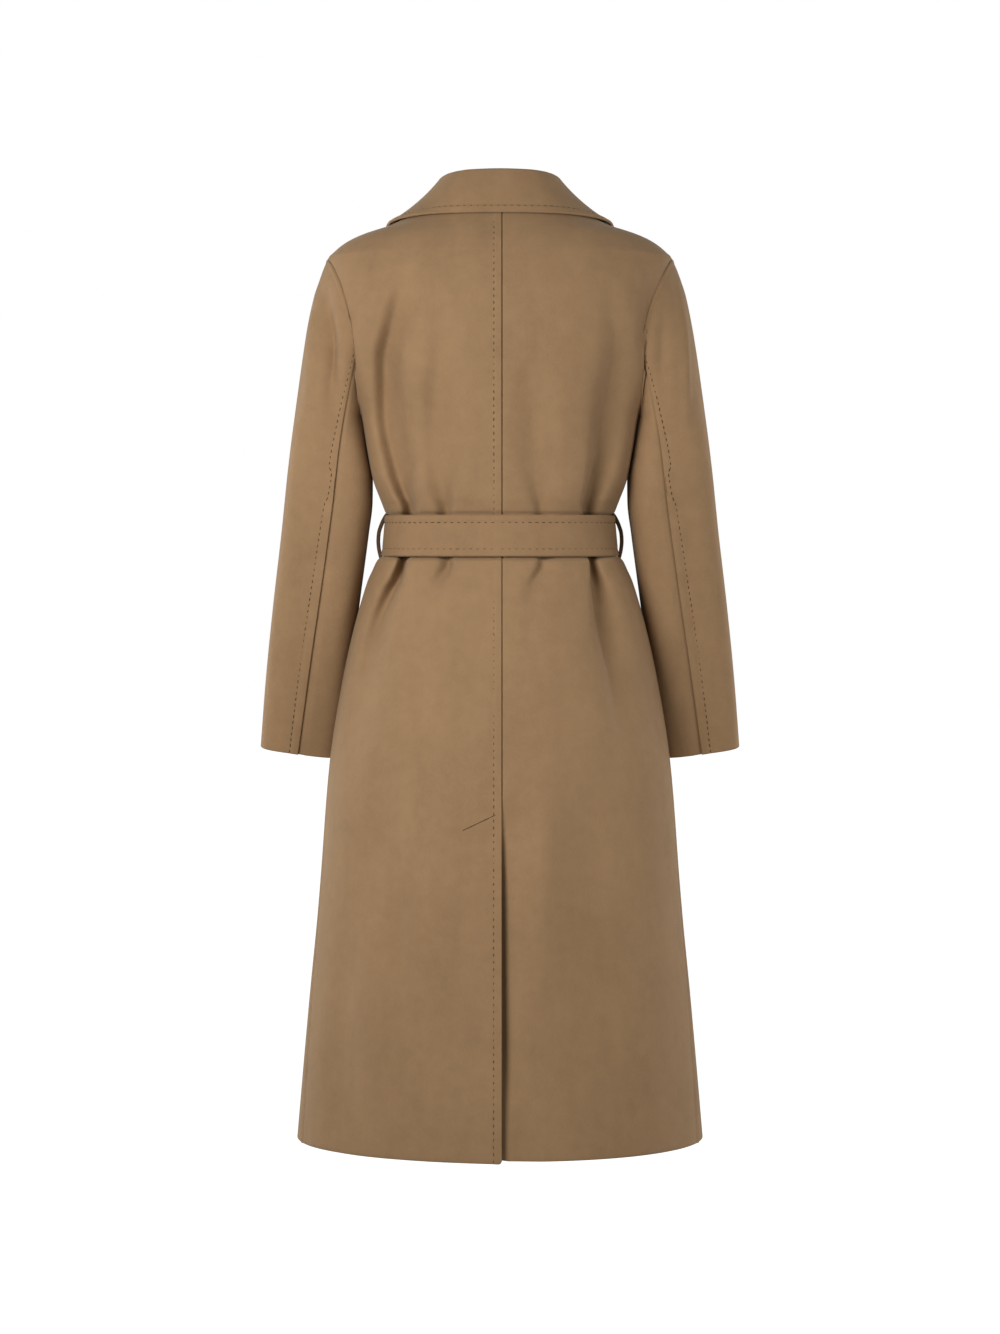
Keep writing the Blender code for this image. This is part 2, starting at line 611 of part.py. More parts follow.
def add_front(name, side, lift):
    """Front panel: columns from its front edge over the lap and the fold to the side edge."""
    heights = body_rows()
    front = column(FRONT_EDGE, "edge", heights)
    lap = column(FRONT_EDGE, "lap", heights)
    across = [front + share * (lap - front) for share in np.linspace(0.0, 1.0, LAP_COLUMNS)]
    across += [lap + LAP_MARGIN]
    across += fold_columns(FRONT_FOLD, heights, SMALL_FOLD_PLACES)
    angles = [angle_at(place, heights, FRONT) for place in across]
    edge = side_angle(heights, FRONT)
    angles += side_columns(angles[-1], edge, FRONT_SIDE_SHARES)
    return add_panel(name, side, np.stack(angles, axis=1), heights, lift)


def add_lapel(name, side, lift):
    """Turned-back lapel on its front panel, between the roll line and the shaped outer edge."""
    shares = [row.share for row in LAPEL]
    along = np.linspace(0.0, 1.0, LAPEL_ROWS)[:, None]
    over = np.linspace(0.0, 1.0, LAPEL_COLUMNS)[None, :]
    roll_height = smooth_curve(shares, [row.roll_height for row in LAPEL], along)
    roll_across = column(FRONT_EDGE, "edge", roll_height)
    edge_across = smooth_curve(shares, [row.edge_across for row in LAPEL], along)
    edge_height = smooth_curve(shares, [row.edge_height for row in LAPEL], along)
    across = roll_across + (edge_across - roll_across) * over
    height = roll_height + (edge_height - roll_height) * over
    gap = LAPEL_ROLL_GAP + (LAPEL_EDGE_GAP - LAPEL_ROLL_GAP) * over
    angle = angle_at(across, height, FRONT)
    outward = body_outward(side, angle, height, lift)
    outer = body_point(side, angle, height, lift) + (gap + CLOTH)[..., None] * outward
    outer = trimmed(outer, SEAM_GAP)
    return add_wall(name, outer, outer - CLOTH * outward, WOOL)


def armhole_across(height, face):
    """Distance across of the armhole edge at a height, on the back or the front."""
    width = column(BODY, "half_width", height)
    power = column(BODY, "squareness", height)
    depth = column(BODY, "back_depth" if face == BACK else "front_depth", height)
    return width * (1.0 - (armhole_depth(height) / depth) ** power) ** (1.0 / power)


def cap_reach(height):
    """Half depth of the sleeve's level section in the cap, and its angle at the armhole edge."""
    share = np.clip((height - ARMHOLE_MIDDLE) / ARMHOLE_HALF_HEIGHT, -1.0, 1.0)
    room = np.maximum(1.0 - share ** 2, LEAST_ROOM)
    bicep = column(SLEEVE, "half_depth", np.full_like(height, UNDERARM)) / ARMHOLE_HALF_DEPTH
    low_cap = 1.0 - (1.0 - bicep) * share ** 2
    half_depth = ARMHOLE_HALF_DEPTH * np.where(share > 0.0, room ** CAP_ROUNDNESS, low_cap)
    turn = np.arcsin(np.clip(armhole_depth(height) / half_depth, 0.0, 1.0))
    return half_depth, np.where(share > 0.0, turn, math.pi - turn)


def sleeve_point(side, turn, height):
    """Point on the sleeve form; turn is 0 on the outside, negative behind and positive in front."""
    outer = column(SLEEVE, "outer", height)
    half_depth = column(SLEEVE, "half_depth", height)
    half_width = (outer - column(SLEEVE, "inner", height)) / 2.0
    cap_depth, cap_turn = cap_reach(height)
    edge = np.where(np.sin(turn) < 0.0, armhole_across(height, BACK), armhole_across(height, FRONT))
    cap_width = (outer - edge) / np.maximum(1.0 - np.cos(cap_turn), LEAST_TURN)
    in_cap = height > UNDERARM
    half_width = np.where(in_cap, cap_width, half_width)
    half_depth = np.where(in_cap, cap_depth, half_depth)
    x = outer - half_width + half_width * np.cos(turn)
    y = column(SLEEVE, "middle", height) + half_depth * np.sin(turn)
    return np.stack([side * x, y, np.broadcast_to(height, x.shape)], axis=-1)


def ring_place(ring_turn):
    """Height and sleeve angle of a place on the armhole ring; 0 is the shoulder tip."""
    height = ARMHOLE_MIDDLE + ARMHOLE_HALF_HEIGHT * np.cos(ring_turn)
    sleeve_turn = cap_reach(height)[1]
    return height, np.where(ring_turn < math.pi, -sleeve_turn, sleeve_turn)


def ring_point(side, ring_turn, lift_back, lift_front):
    """Point and outward normal of the body's own armhole edge at places on the ring."""
    height = ARMHOLE_MIDDLE + ARMHOLE_HALF_HEIGHT * np.cos(ring_turn)
    behind = np.sin(ring_turn) >= 0.0
    inside = np.clip(height, UNDERARM + RING_INSET, SHOULDER_TIP - RING_INSET)
    back_angle = side_angle(inside, BACK)
    front_angle = side_angle(inside, FRONT)
    points = np.where(behind[:, None], body_point(side, back_angle, inside, lift_back),
                      body_point(side, front_angle, inside, lift_front))
    normals = np.where(behind[:, None], body_outward(side, back_angle, inside, lift_back),
                       body_outward(side, front_angle, inside, lift_front))
    return points, normals


def sleeve_grid(side, ring_turns, cuff_turns, row_count, lift_back, lift_front):
    """Outer and inner points of a sleeve piece: lines from the cuff up to its part of the armhole."""
    top_height, top_turn = ring_place(ring_turns)
    if cuff_turns.min() < -math.pi:
        top_turn = np.where(top_turn > 0.0, top_turn - 2.0 * math.pi, top_turn)
    cuff = sleeve_point(side, cuff_turns, np.full_like(cuff_turns, CUFF_HEIGHT))
    cuff_middle = cuff_axis(side)
    cuff_height = (CUFF_HEIGHT + CUFF_TILT_OUT * side * (cuff[:, 0] - cuff_middle[0])
                   + CUFF_TILT_FRONT * (cuff[:, 1] - cuff_middle[1]))
    share = np.linspace(0.0, 1.0, row_count)[:, None]
    share = 1.0 - (1.0 - share) ** SLEEVE_ROW_CROWDING
    height = cuff_height + (top_height - cuff_height) * share
    turn = cuff_turns + (top_turn - cuff_turns) * share ** SEAM_SWING
    outer = sleeve_point(side, turn, height)
    edge, edge_outward = ring_point(side, ring_turns, lift_back, lift_front)
    outer = outer + (edge - outer[-1]) * share[..., None] ** CAP_FIT_POWER
    ahead = sleeve_point(side, turn + ANGLE_STEP, height)
    behind = sleeve_point(side, turn - ANGLE_STEP, height)
    above = sleeve_point(side, turn, height + SLEEVE_HEIGHT_STEP)
    below = sleeve_point(side, turn, height - SLEEVE_HEIGHT_STEP)
    outward = unit(np.cross(ahead - behind, above - below)) * side
    convex = soft_step(np.cos(ring_turns), CAP_CONVEX_STARTS, CAP_CONVEX_FULL)[:, None]
    top_outward = unit(edge_outward * convex + outward[-2] * (1.0 - convex))
    near_top = share[..., None] ** CAP_TURN_POWER
    outward = unit(top_outward * near_top + outward * (1.0 - near_top))
    outer[-1] += SEAM_GAP * unit(np.array(CAP_SEAM_WAY) * (side, 1.0, 1.0))
    return outer, outer - CLOTH * outward


def cuff_axis(side):
    """Middle of the cuff opening."""
    height = np.array([CUFF_HEIGHT])
    outer = column(SLEEVE, "outer", height)[0]
    inner = column(SLEEVE, "inner", height)[0]
    middle = column(SLEEVE, "middle", height)[0]
    return np.array([side * (outer + inner) / 2.0, middle, CUFF_HEIGHT])


def add_sleeve(name, side, lift_back, lift_front):
    """Upper and under sleeve, parted along the hind and fore seams."""
    ring_step = math.pi / ARMHOLE_STEPS
    seam = SLEEVE_SEAM_STEP
    upper_steps = np.arange(-seam, seam + 1)
    upper_ring = -upper_steps * ring_step
    upper_ring = np.where(upper_ring < 0.0, upper_ring + 2.0 * math.pi, upper_ring)
    upper_share = (upper_steps + seam) / (2.0 * seam)
    upper_cuff = CUFF_HIND_SEAM + (CUFF_FORE_SEAM - CUFF_HIND_SEAM) * upper_share
    outer, inner = sleeve_grid(side, upper_ring, upper_cuff, SLEEVE_ROWS, lift_back, lift_front)
    outer, inner = seam_sides(outer, inner)
    add_wall("sleeve_upper_" + name, outer, inner, WOOL)
    under_steps = np.arange(seam, 2 * ARMHOLE_STEPS - seam + 1)
    under_ring = under_steps * ring_step
    under_share = (under_steps - seam) / (2.0 * (ARMHOLE_STEPS - seam))
    under_end = CUFF_FORE_SEAM - 2.0 * math.pi
    under_cuff = CUFF_HIND_SEAM + (under_end - CUFF_HIND_SEAM) * under_share
    outer, inner = sleeve_grid(side, under_ring, under_cuff, SLEEVE_ROWS, lift_back, lift_front)
    outer, inner = seam_sides(outer, inner)
    add_wall("sleeve_under_" + name, outer, inner, WOOL)


def seam_sides(outer, inner):
    """Both walls with their two long edges drawn in by half the sleeve's seam gap."""
    half = SLEEVE_SEAM_GAP / 2.0
    for end, near in ((0, 1), (-1, -2)):
        along = unit(np.gradient(outer[:, end], axis=0))
        aside = outer[:, near] - outer[:, end]
        shift = half * unit(aside - np.sum(aside * along, axis=-1, keepdims=True) * along)
        outer[:, end] += shift
        inner[:, end] += shift
    return outer, inner


def mirrored_curve(places, points, at):
    """Smooth curve through points of the right half and their mirror images, read at -1 to 1."""
    points = np.asarray(points, float)
    mirror = points[:0:-1] * np.array([-1.0, 1.0, 1.0])
    every = np.concatenate([mirror, points])
    knots = np.concatenate([-np.asarray(places)[:0:-1], places])
    return np.stack([smooth_curve(knots, every[:, axis], at) for axis in range(3)], axis=-1)


def collar_edge(station):
    """Point of the collar's outer edge, lifted from the body under it."""
    across = np.array([station.edge_across])
    height = np.array([station.edge_height])
    angle = angle_at(across, height, station.edge_face)
    point = body_point(RIGHT, angle, height, plain_lift)
    return (point + COLLAR_EDGE_LIFT * body_outward(RIGHT, angle, height, plain_lift))[0]


def collar_lines(at):
    """Neck seam, fold line and outer edge of the collar at places from -1 (left end) to 1 (right end)."""
    places = [station.place for station in COLLAR]
    seam = mirrored_curve(places, [station.seam for station in COLLAR], at)
    fold = mirrored_curve(places, [station.fold for station in COLLAR], at)
    edge = mirrored_curve(places, [collar_edge(station) for station in COLLAR], at)
    return seam, fold, edge


def body_level(points):
    """How far out from the body's axis points lie, as a share of the body's own section; 1 is on it."""
    height = points[..., 2]
    power = column(BODY, "squareness", height)
    deep = points[..., 1] - column(BODY, "middle", height)
    back = column(BODY, "back_depth", height)
    front = column(BODY, "front_depth", height)
    depth = np.where(deep < 0.0, back, front)
    wide = np.abs(points[..., 0]) / column(BODY, "half_width", height)
    return (wide ** power + np.abs(deep / depth) ** power) ** (1.0 / power)


def clear_of_body(points, room):
    """Points pushed out softly until they lie at least room outside the body form."""
    step = HEIGHT_STEP
    for _ in range(PUSH_ROUNDS):
        slopes = [(body_level(points + step * way) - body_level(points - step * way)) / (2.0 * step)
                  for way in np.eye(3)]
        slope = np.stack(slopes, axis=-1)
        size = np.linalg.norm(slope, axis=-1, keepdims=True)
        short = room - (body_level(points)[..., None] - 1.0) / size
        push = 0.5 * (short + np.sqrt(short ** 2 + COLLAR_PUSH_EASE ** 2))
        points = points + push * slope / size
    return points


def add_collar():
    """Collar as one folded wall: up the stand, round the fold and down the fall."""
    at = np.linspace(-1.0, 1.0, COLLAR_STEPS + 1)
    seam, fold, edge = collar_lines(at)
    up = unit(fold - seam)
    away = edge - fold
    away = unit(away - np.sum(away * up, axis=-1, keepdims=True) * up)
    centre = fold - COLLAR_ROLL * up
    rows = []
    for share in np.linspace(0.0, 1.0, COLLAR_STAND_STEPS + 1)[:-1]:
        rows.append(seam + share * (centre - COLLAR_ROLL * away - seam))
    for turn in np.linspace(0.0, math.pi, COLLAR_ROLL_STEPS + 1):
        rows.append(centre + COLLAR_ROLL * (math.sin(turn) * up - math.cos(turn) * away))
    start = centre + COLLAR_ROLL * away
    reach = np.linalg.norm(edge - start, axis=-1, keepdims=True)
    for share in np.linspace(0.0, 1.0, COLLAR_FALL_STEPS + 1)[1:]:
        bend = share * (1.0 - share) ** 2
        fall = (start + share ** 2 * (3.0 - 2.0 * share) * (edge - start)
                - COLLAR_DROP * bend * reach * up
                - COLLAR_FLARE * (1.0 - share) * share ** 2 * (edge - start))
        rows.append(clear_of_body(fall, COLLAR_ROOM))
    outer = np.stack(rows)
    along = np.gradient(outer, axis=1)
    down = np.gradient(outer, axis=0)
    outward = unit(np.cross(down, along))
    return add_wall("collar", outer, outer - COLLAR_CLOTH * outward, WOOL)


def belt_lift(across, height):
    """Room under the belt: close to the cloth, and over the second front where they lap."""
    lap = column(FRONT_EDGE, "lap", height) + LAP_MARGIN
    return BELT_EASE + SKIRT_LAP * soft_step(np.abs(across), lap + BELT_LAP_FADE, lap)


def belt_ring(angles, out, height):
    """Ring of the belt at a distance out from its inner face and at its own height."""
    waist = np.full_like(angles, BELT_MIDDLE)

    def lift(across, at):
        front = np.where(np.cos(angles) < 0.0, belt_lift(across, at), BELT_EASE)
        return front + out

    points = body_point(RIGHT, angles, waist, lift)
    points[:, 2] = height + waist_rise(points[:, 1], BELT_MIDDLE)
    return points


def add_belt():
    """Belt band: a flat closed ring with softened long edges."""
    angles = np.linspace(0.0, 2.0 * math.pi, BELT_STEPS, endpoint=False)
    profile = ((0.0, BELT_BOTTOM + BELT_CORNER), (0.0, BELT_TOP - BELT_CORNER),
               (BELT_CORNER, BELT_TOP), (BELT_CLOTH - BELT_CORNER, BELT_TOP),
               (BELT_CLOTH, BELT_TOP - BELT_CORNER), (BELT_CLOTH, BELT_BOTTOM + BELT_CORNER),
               (BELT_CLOTH - BELT_CORNER, BELT_BOTTOM), (BELT_CORNER, BELT_BOTTOM))
    rings = np.stack([belt_ring(angles, out, height) for out, height in profile], axis=1)
    index = np.arange(BELT_STEPS * len(profile)).reshape(BELT_STEPS, len(profile))
    ahead = np.roll(index, -1, axis=0)
    faces = np.stack([index, ahead, np.roll(ahead, -1, axis=1), np.roll(index, -1, axis=1)], axis=-1)
    return add_object("belt", rings.reshape(-1, 3), faces.reshape(-1, 4), BELT_WOOL)


def belt_front():
    """Outer face of the belt at the centre front."""
    return belt_ring(np.array([math.pi]), BELT_CLOTH, BELT_MIDDLE)[0][1]


def add_knot():
    """Rounded knot of the belt, tilted a little, in front of the band."""
    shape = bmesh.new()
    bmesh.ops.create_icosphere(shape, subdivisions=3, radius=1.0)
    tilt_cos, tilt_sin = math.cos(KNOT_TILT), math.sin(KNOT_TILT)
    centre_y = belt_front() + LAYER_GAP + KNOT_HALF_SIZE[1]
    centre_z = BELT_MIDDLE + waist_rise(centre_y, BELT_MIDDLE)
    for vertex in shape.verts:
        x, y, z = KNOT_HALF_SIZE * signed_power(np.array(vertex.co), KNOT_SQUARENESS)
        vertex.co = (KNOT_ACROSS + tilt_cos * x - tilt_sin * z, centre_y + y,
                     centre_z + tilt_sin * x + tilt_cos * z)
    mesh = bpy.data.meshes.new("belt_knot")
    shape.to_mesh(mesh)
    shape.free()
    made = bpy.data.objects.new("belt_knot", mesh)
    made.data.materials.append(material("belt_knot", BELT_WOOL))
    bpy.context.scene.collection.objects.link(made)
    return made


def add_belt_end(end):
    """Hanging belt end on the skirt's front, from below the knot to its squared tip."""
    share = np.linspace(0.0, 1.0, BELT_END_ROWS)[:, None]
    over = np.linspace(-0.5, 0.5, BELT_END_COLUMNS)[None, :]
    height = BELT_END_TOP + (end.bottom - BELT_END_TOP) * share + 0.0 * over
    middle = end.top_across + (end.bottom_across - end.top_across) * share
    across = middle + BELT_END_WIDTH * over
    layer = end.layer * soft_step(height, BELT_END_PARTED[1], BELT_END_PARTED[0])
    near_knot = BELT_END_KNOT_REACH * soft_step(height, BELT_END_KNOT_FREE, BELT_END_TOP)
    room = BELT_END_EASE + layer + near_knot
    angle = angle_at(across, height, FRONT)

    def inner_lift(place, at):
        return front_over_lift(place, at) + room

    def outer_lift(place, at):
        return inner_lift(place, at) + BELT_CLOTH

    outer = body_point(RIGHT, angle, height, outer_lift)
    inner = body_point(RIGHT, angle, height, inner_lift)
    return add_wall(end.name, outer, inner, BELT_WOOL)


def add_loop(name, side):
    """Narrow belt loop at the side seam, bowed out over the belt."""
    path = np.array([(point.across, point.height) for point in LOOP])
    along = unit(np.gradient(path, axis=0))
    out = np.stack([-along[:, 1], along[:, 0]], axis=-1)
    inner = path - LOOP_CLOTH * out
    middle = column(BODY, "middle", np.array([BELT_MIDDLE]))[0]
    grids = []
    for line in (path, inner):
        edges = [np.stack([side * line[:, 0], np.full(len(line), middle + shift), line[:, 1]], axis=-1)
                 for shift in (-LOOP_WIDTH / 2.0, LOOP_WIDTH / 2.0)]
        grids.append(np.stack(edges, axis=1))
    return add_wall(name, grids[0], grids[1], BELT_WOOL)


def clear_scene():
    """Start from an empty scene."""
    for made in list(bpy.data.objects):
        bpy.data.objects.remove(made, do_unlink=True)


def main():
    """Make every piece of the coat."""
    clear_scene()
    add_backs()
    add_front("front_left", LEFT, front_under_lift)
    add_front("front_right", RIGHT, front_over_lift)
    add_lapel("lapel_left", LEFT, front_under_lift)
    add_lapel("lapel_right", RIGHT, front_over_lift)
    add_collar()
    add_sleeve("left", LEFT, back_left_lift, front_under_lift)
    add_sleeve("right", RIGHT, back_right_lift, front_over_lift)
    add_belt()
    add_knot()
    for end in BELT_ENDS:
        add_belt_end(end)
    add_loop("belt_loop_left", LEFT)
    add_loop("belt_loop_right", RIGHT)


main()
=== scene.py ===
"""Belted wool coat: its cloth, its sewing and a plain studio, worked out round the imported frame.

Metres, +Z up, +Y the way the wearer faces, +X the wearer's right; the back faces -Y. Every cloth
piece is a thin closed shell on the form of the body or of the sleeve, and its creases are soft
troughs and ridges in that form. A place on the body form is an angle round the body and a height:
the angle is 0 at the centre back, 90 degrees at the side and 180 degrees at the centre front,
counted toward the panel's own side. A distance across is counted from the centre toward that side.
"""

import math
from collections import namedtuple

import bpy
import numpy as np
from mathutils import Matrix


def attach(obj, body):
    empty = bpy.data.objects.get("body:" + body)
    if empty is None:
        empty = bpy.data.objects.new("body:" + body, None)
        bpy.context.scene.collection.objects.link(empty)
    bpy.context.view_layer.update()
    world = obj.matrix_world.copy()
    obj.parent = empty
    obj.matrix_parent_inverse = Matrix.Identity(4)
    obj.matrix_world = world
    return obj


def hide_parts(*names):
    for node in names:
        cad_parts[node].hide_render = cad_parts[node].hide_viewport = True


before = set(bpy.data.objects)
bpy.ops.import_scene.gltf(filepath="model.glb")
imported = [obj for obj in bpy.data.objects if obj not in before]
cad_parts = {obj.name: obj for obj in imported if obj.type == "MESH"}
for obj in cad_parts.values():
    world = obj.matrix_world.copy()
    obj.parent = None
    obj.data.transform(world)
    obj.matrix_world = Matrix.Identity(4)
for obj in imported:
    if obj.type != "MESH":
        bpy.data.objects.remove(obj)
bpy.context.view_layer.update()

bl_info = {
    "name": "Belted coat",
    "version": (1, 0, 0),
    "blender": (4, 5, 0),
    "location": "View3D > Sidebar > Coat",
    "description": "Makes the cloth, the sewing and the studio of a belted wool coat round its frame",
    "category": "Object",
}


def rows_of(kind, *rows):
    """Rows of plain values as named rows of one kind."""
    return tuple(kind(*row) for row in rows)


BODY_NAME = "root"

RIGHT = 1.0
LEFT = -1.0
BACK = -1.0
FRONT = 1.0
SIDE_NAMES = {LEFT: "left", RIGHT: "right"}

HEM = -1.120
UNDERARM = -0.262
SHOULDER_TIP = -0.072
NECK = 0.0
ARMHOLE_MIDDLE = (UNDERARM + SHOULDER_TIP) / 2.0
ARMHOLE_HALF_HEIGHT = (SHOULDER_TIP - UNDERARM) / 2.0
ARMHOLE_HALF_DEPTH = 0.074
SEAM_GAP = 0.0001
RIM = 0.0008

CENTRE_SEAM = 0.002
SEAM_UNDERLAP = -0.0060
SEAM_RECESS = 0.0030
SEAM_RECESS_ENDS = (0.0034, 0.0021)
VENT_GAP_END = 0.0015
VentRow = namedtuple("VentRow", "height depth width")
VENT = rows_of(
    VentRow,
    (-0.7350, 0.0000, 0.0030),
    (-0.7465, 0.0050, 0.0045),
    (-0.7800, 0.0090, 0.0090),
    (-0.8265, 0.0115, 0.0120),
    (-0.8836, 0.0125, 0.0135),
    (-0.9407, 0.0135, 0.0155),
    (-0.9978, 0.0140, 0.0170),
    (-1.0549, 0.0115, 0.0140),
    (-1.1200, 0.0095, 0.0120),
)
VENT_TOP = -0.735
VENT_FULL = -0.757
UNDERLAP = -0.045
VENT_RECESS = 0.0036
VENT_RECESS_STARTS = VENT_TOP + 0.030
VENT_RECESS_FULL = VENT_TOP - 0.004
VENT_RECESS_REACH = 0.055
VENT_RECESS_FLAT = 0.012
VENT_PROUD = 0.0030
VENT_PROUD_REACH = 0.022
VENT_PROUD_FULL = -0.840
HEM_EASE = 0.240
HEM_CORNER = 0.0034
HEM_CORNER_EASE = 0.020
SIDE_SEAM_RISE = {BACK: 0.0012, FRONT: -0.0014}
SIDE_SEAM_LAP = 0.0035
SIDE_SEAM_STRIP = (0.0070, 0.0015)
SIDE_SEAM_STARTS = (-0.450, -0.600)

BELT_BOTTOM = -0.4275
BELT_TOP = -0.3785
BELT_MIDDLE = (BELT_BOTTOM + BELT_TOP) / 2.0
WAIST_TILT = 0.045
WAIST_TILT_REACH = 0.080
BELT_EASE = 0.0008
BELT_LAP_FADE = 0.030
BELT_NIP = 0.0020
BELT_NIP_REACH = 0.0028
BELT_NIP_ENDS = (0.136, 0.118)
BELT_FLAT_EASE = 0.012
BELT_FLARE = 0.0022

Section = namedtuple("Section", "height half_width back_depth front_depth middle squareness")
BODY = rows_of(
    Section,
    (0.0120, 0.0590, 0.0520, 0.0460, 0.000, 2.00),
    (0.0000, 0.0700, 0.0600, 0.0540, 0.000, 2.00),
    (-0.0120, 0.0920, 0.0685, 0.0600, 0.000, 2.00),
    (-0.0220, 0.1120, 0.0755, 0.0660, 0.000, 2.00),
    (-0.0330, 0.1340, 0.0820, 0.0720, 0.000, 2.00),
    (-0.0432, 0.1650, 0.0880, 0.0780, 0.000, 2.05),
    (-0.0504, 0.1810, 0.0920, 0.0820, 0.000, 2.10),
    (-0.0576, 0.1920, 0.0960, 0.0855, 0.000, 2.10),
    (-0.0648, 0.2000, 0.0990, 0.0890, 0.000, 2.15),
    (-0.0720, 0.2064, 0.1020, 0.0920, 0.000, 2.20),
    (-0.1000, 0.2050, 0.1100, 0.1020, 0.000, 2.50),
    (-0.1440, 0.1990, 0.1180, 0.1170, 0.000, 2.70),
    (-0.1760, 0.1930, 0.1210, 0.1260, 0.000, 2.70),
    (-0.2100, 0.1840, 0.1210, 0.1310, 0.000, 2.70),
    (-0.2400, 0.1740, 0.1150, 0.1360, -0.004, 2.60),
    (-0.2620, 0.1655, 0.1060, 0.1410, -0.011, 2.55),
    (-0.3050, 0.1580, 0.0960, 0.1390, -0.016, 2.45),
    (-0.3360, 0.1517, 0.0930, 0.1320, -0.016, 2.40),
    (-0.3600, 0.1430, 0.0965, 0.1200, -0.010, 2.35),
    (-0.3672, 0.1402, 0.0972, 0.1142, -0.007, 2.30),
    (-0.3720, 0.1385, 0.0975, 0.1102, -0.005, 2.30),
    (-0.3756, 0.1368, 0.0965, 0.1070, -0.004, 2.30),
    (-0.3780, 0.1324, 0.0949, 0.1009, -0.002, 2.30),
    (-0.4030, 0.1345, 0.0970, 0.1030, -0.002, 2.30),
    (-0.4270, 0.1376, 0.0992, 0.1052, -0.002, 2.30),
    (-0.4283, 0.1434, 0.1030, 0.1066, -0.002, 2.30),
    (-0.4310, 0.1457, 0.1046, 0.1076, -0.002, 2.28),
    (-0.4330, 0.1474, 0.1060, 0.1087, -0.003, 2.25),
    (-0.4450, 0.1531, 0.1097, 0.1135, -0.003, 2.20),
    (-0.4560, 0.1581, 0.1137, 0.1180, -0.003, 2.20),
    (-0.4800, 0.1656, 0.1210, 0.1240, -0.005, 2.15),
    (-0.5120, 0.1740, 0.1300, 0.1310, -0.007, 2.10),
    (-0.5710, 0.1862, 0.1420, 0.1400, -0.010, 2.10),
    (-0.6720, 0.2020, 0.1550, 0.1510, -0.012, 2.10),
    (-0.8160, 0.2140, 0.1680, 0.1640, -0.012, 2.10),
    (-0.9600, 0.2280, 0.1790, 0.1740, -0.012, 2.10),
    (-1.1200, 0.2420, 0.1900, 0.1840, -0.012, 2.10),
)

Seam = namedtuple("Seam", "height angle")
SIDE_SEAM = rows_of(
    Seam,
    (-0.2620, 90.0),
    (-0.4800, 90.0),
    (-0.6720, 87.0),
    (-0.8400, 82.0),
    (-1.1200, 74.0),
)

Fold = namedtuple("Fold", "height across depth half_width")
BACK_DEEP_LEFT = rows_of(
    Fold,
    (0.012, 0.038, 0.0000, 0.008),
    (0.000, 0.046, 0.0000, 0.009),
    (-0.033, 0.084, 0.0000, 0.014),
    (-0.072, 0.106, 0.0000, 0.016),
    (-0.105, 0.112, 0.0025, 0.016),
    (-0.134, 0.118, 0.0110, 0.017),
    (-0.165, 0.126, 0.0190, 0.017),
    (-0.200, 0.1335, 0.0250, 0.018),
    (-0.262, 0.1330, 0.0280, 0.019),
    (-0.325, 0.1205, 0.0290, 0.019),
    (-0.350, 0.1125, 0.0285, 0.017),
    (-0.372, 0.1045, 0.0280, 0.014),
    (-0.403, 0.1060, 0.0150, 0.012),
    (-0.436, 0.113, 0.0300, 0.0090),
    (-0.454, 0.118, 0.0290, 0.0130),
    (-0.470, 0.126, 0.0270, 0.0150),
    (-0.502, 0.139, 0.0220, 0.0155),
    (-0.540, 0.149, 0.0175, 0.0170),
    (-0.579, 0.157, 0.0115, 0.0190),
    (-0.660, 0.167, 0.0030, 0.0220),
    (-1.120, 0.180, 0.0000, 0.030),
)
BACK_SMALL_LEFT = rows_of(
    Fold,
    (0.012, 0.016, 0.0000, 0.006),
    (0.000, 0.020, 0.0000, 0.008),
    (-0.033, 0.040, 0.0000, 0.012),
    (-0.100, 0.062, 0.0000, 0.014),
    (-0.150, 0.065, 0.0020, 0.018),
    (-0.200, 0.069, 0.0075, 0.018),
    (-0.270, 0.075, 0.0125, 0.019),
    (-0.317, 0.073, 0.0125, 0.018),
    (-0.350, 0.068, 0.0130, 0.016),
    (-0.372, 0.063, 0.0150, 0.013),
    (-0.403, 0.065, 0.0060, 0.011),
    (-0.436, 0.060, 0.0130, 0.012),
    (-0.459, 0.0705, 0.0080, 0.014),
    (-0.490, 0.078, 0.0025, 0.016),
    (-0.600, 0.083, 0.0000, 0.022),
    (-1.120, 0.100, 0.0000, 0.030),
)
BACK_DEEP_RIGHT = rows_of(
    Fold,
    (0.012, 0.038, 0.0000, 0.008),
    (0.000, 0.046, 0.0000, 0.009),
    (-0.033, 0.086, 0.0000, 0.014),
    (-0.072, 0.112, 0.0000, 0.017),
    (-0.120, 0.132, 0.0010, 0.018),
    (-0.150, 0.133, 0.0040, 0.019),
    (-0.185, 0.1350, 0.0110, 0.020),
    (-0.247, 0.1245, 0.0190, 0.022),
    (-0.300, 0.1165, 0.0230, 0.021),
    (-0.345, 0.1050, 0.0255, 0.018),
    (-0.372, 0.0985, 0.0260, 0.0145),
    (-0.403, 0.1020, 0.0150, 0.012),
    (-0.436, 0.1060, 0.0230, 0.0085),
    (-0.468, 0.1085, 0.0270, 0.0190),
    (-0.500, 0.1120, 0.0270, 0.0260),
    (-0.536, 0.1190, 0.0235, 0.0280),
    (-0.580, 0.1300, 0.0160, 0.0290),
    (-0.640, 0.1430, 0.0075, 0.0300),
    (-0.720, 0.158, 0.0016, 0.026),
    (-1.120, 0.182, 0.0000, 0.030),
)
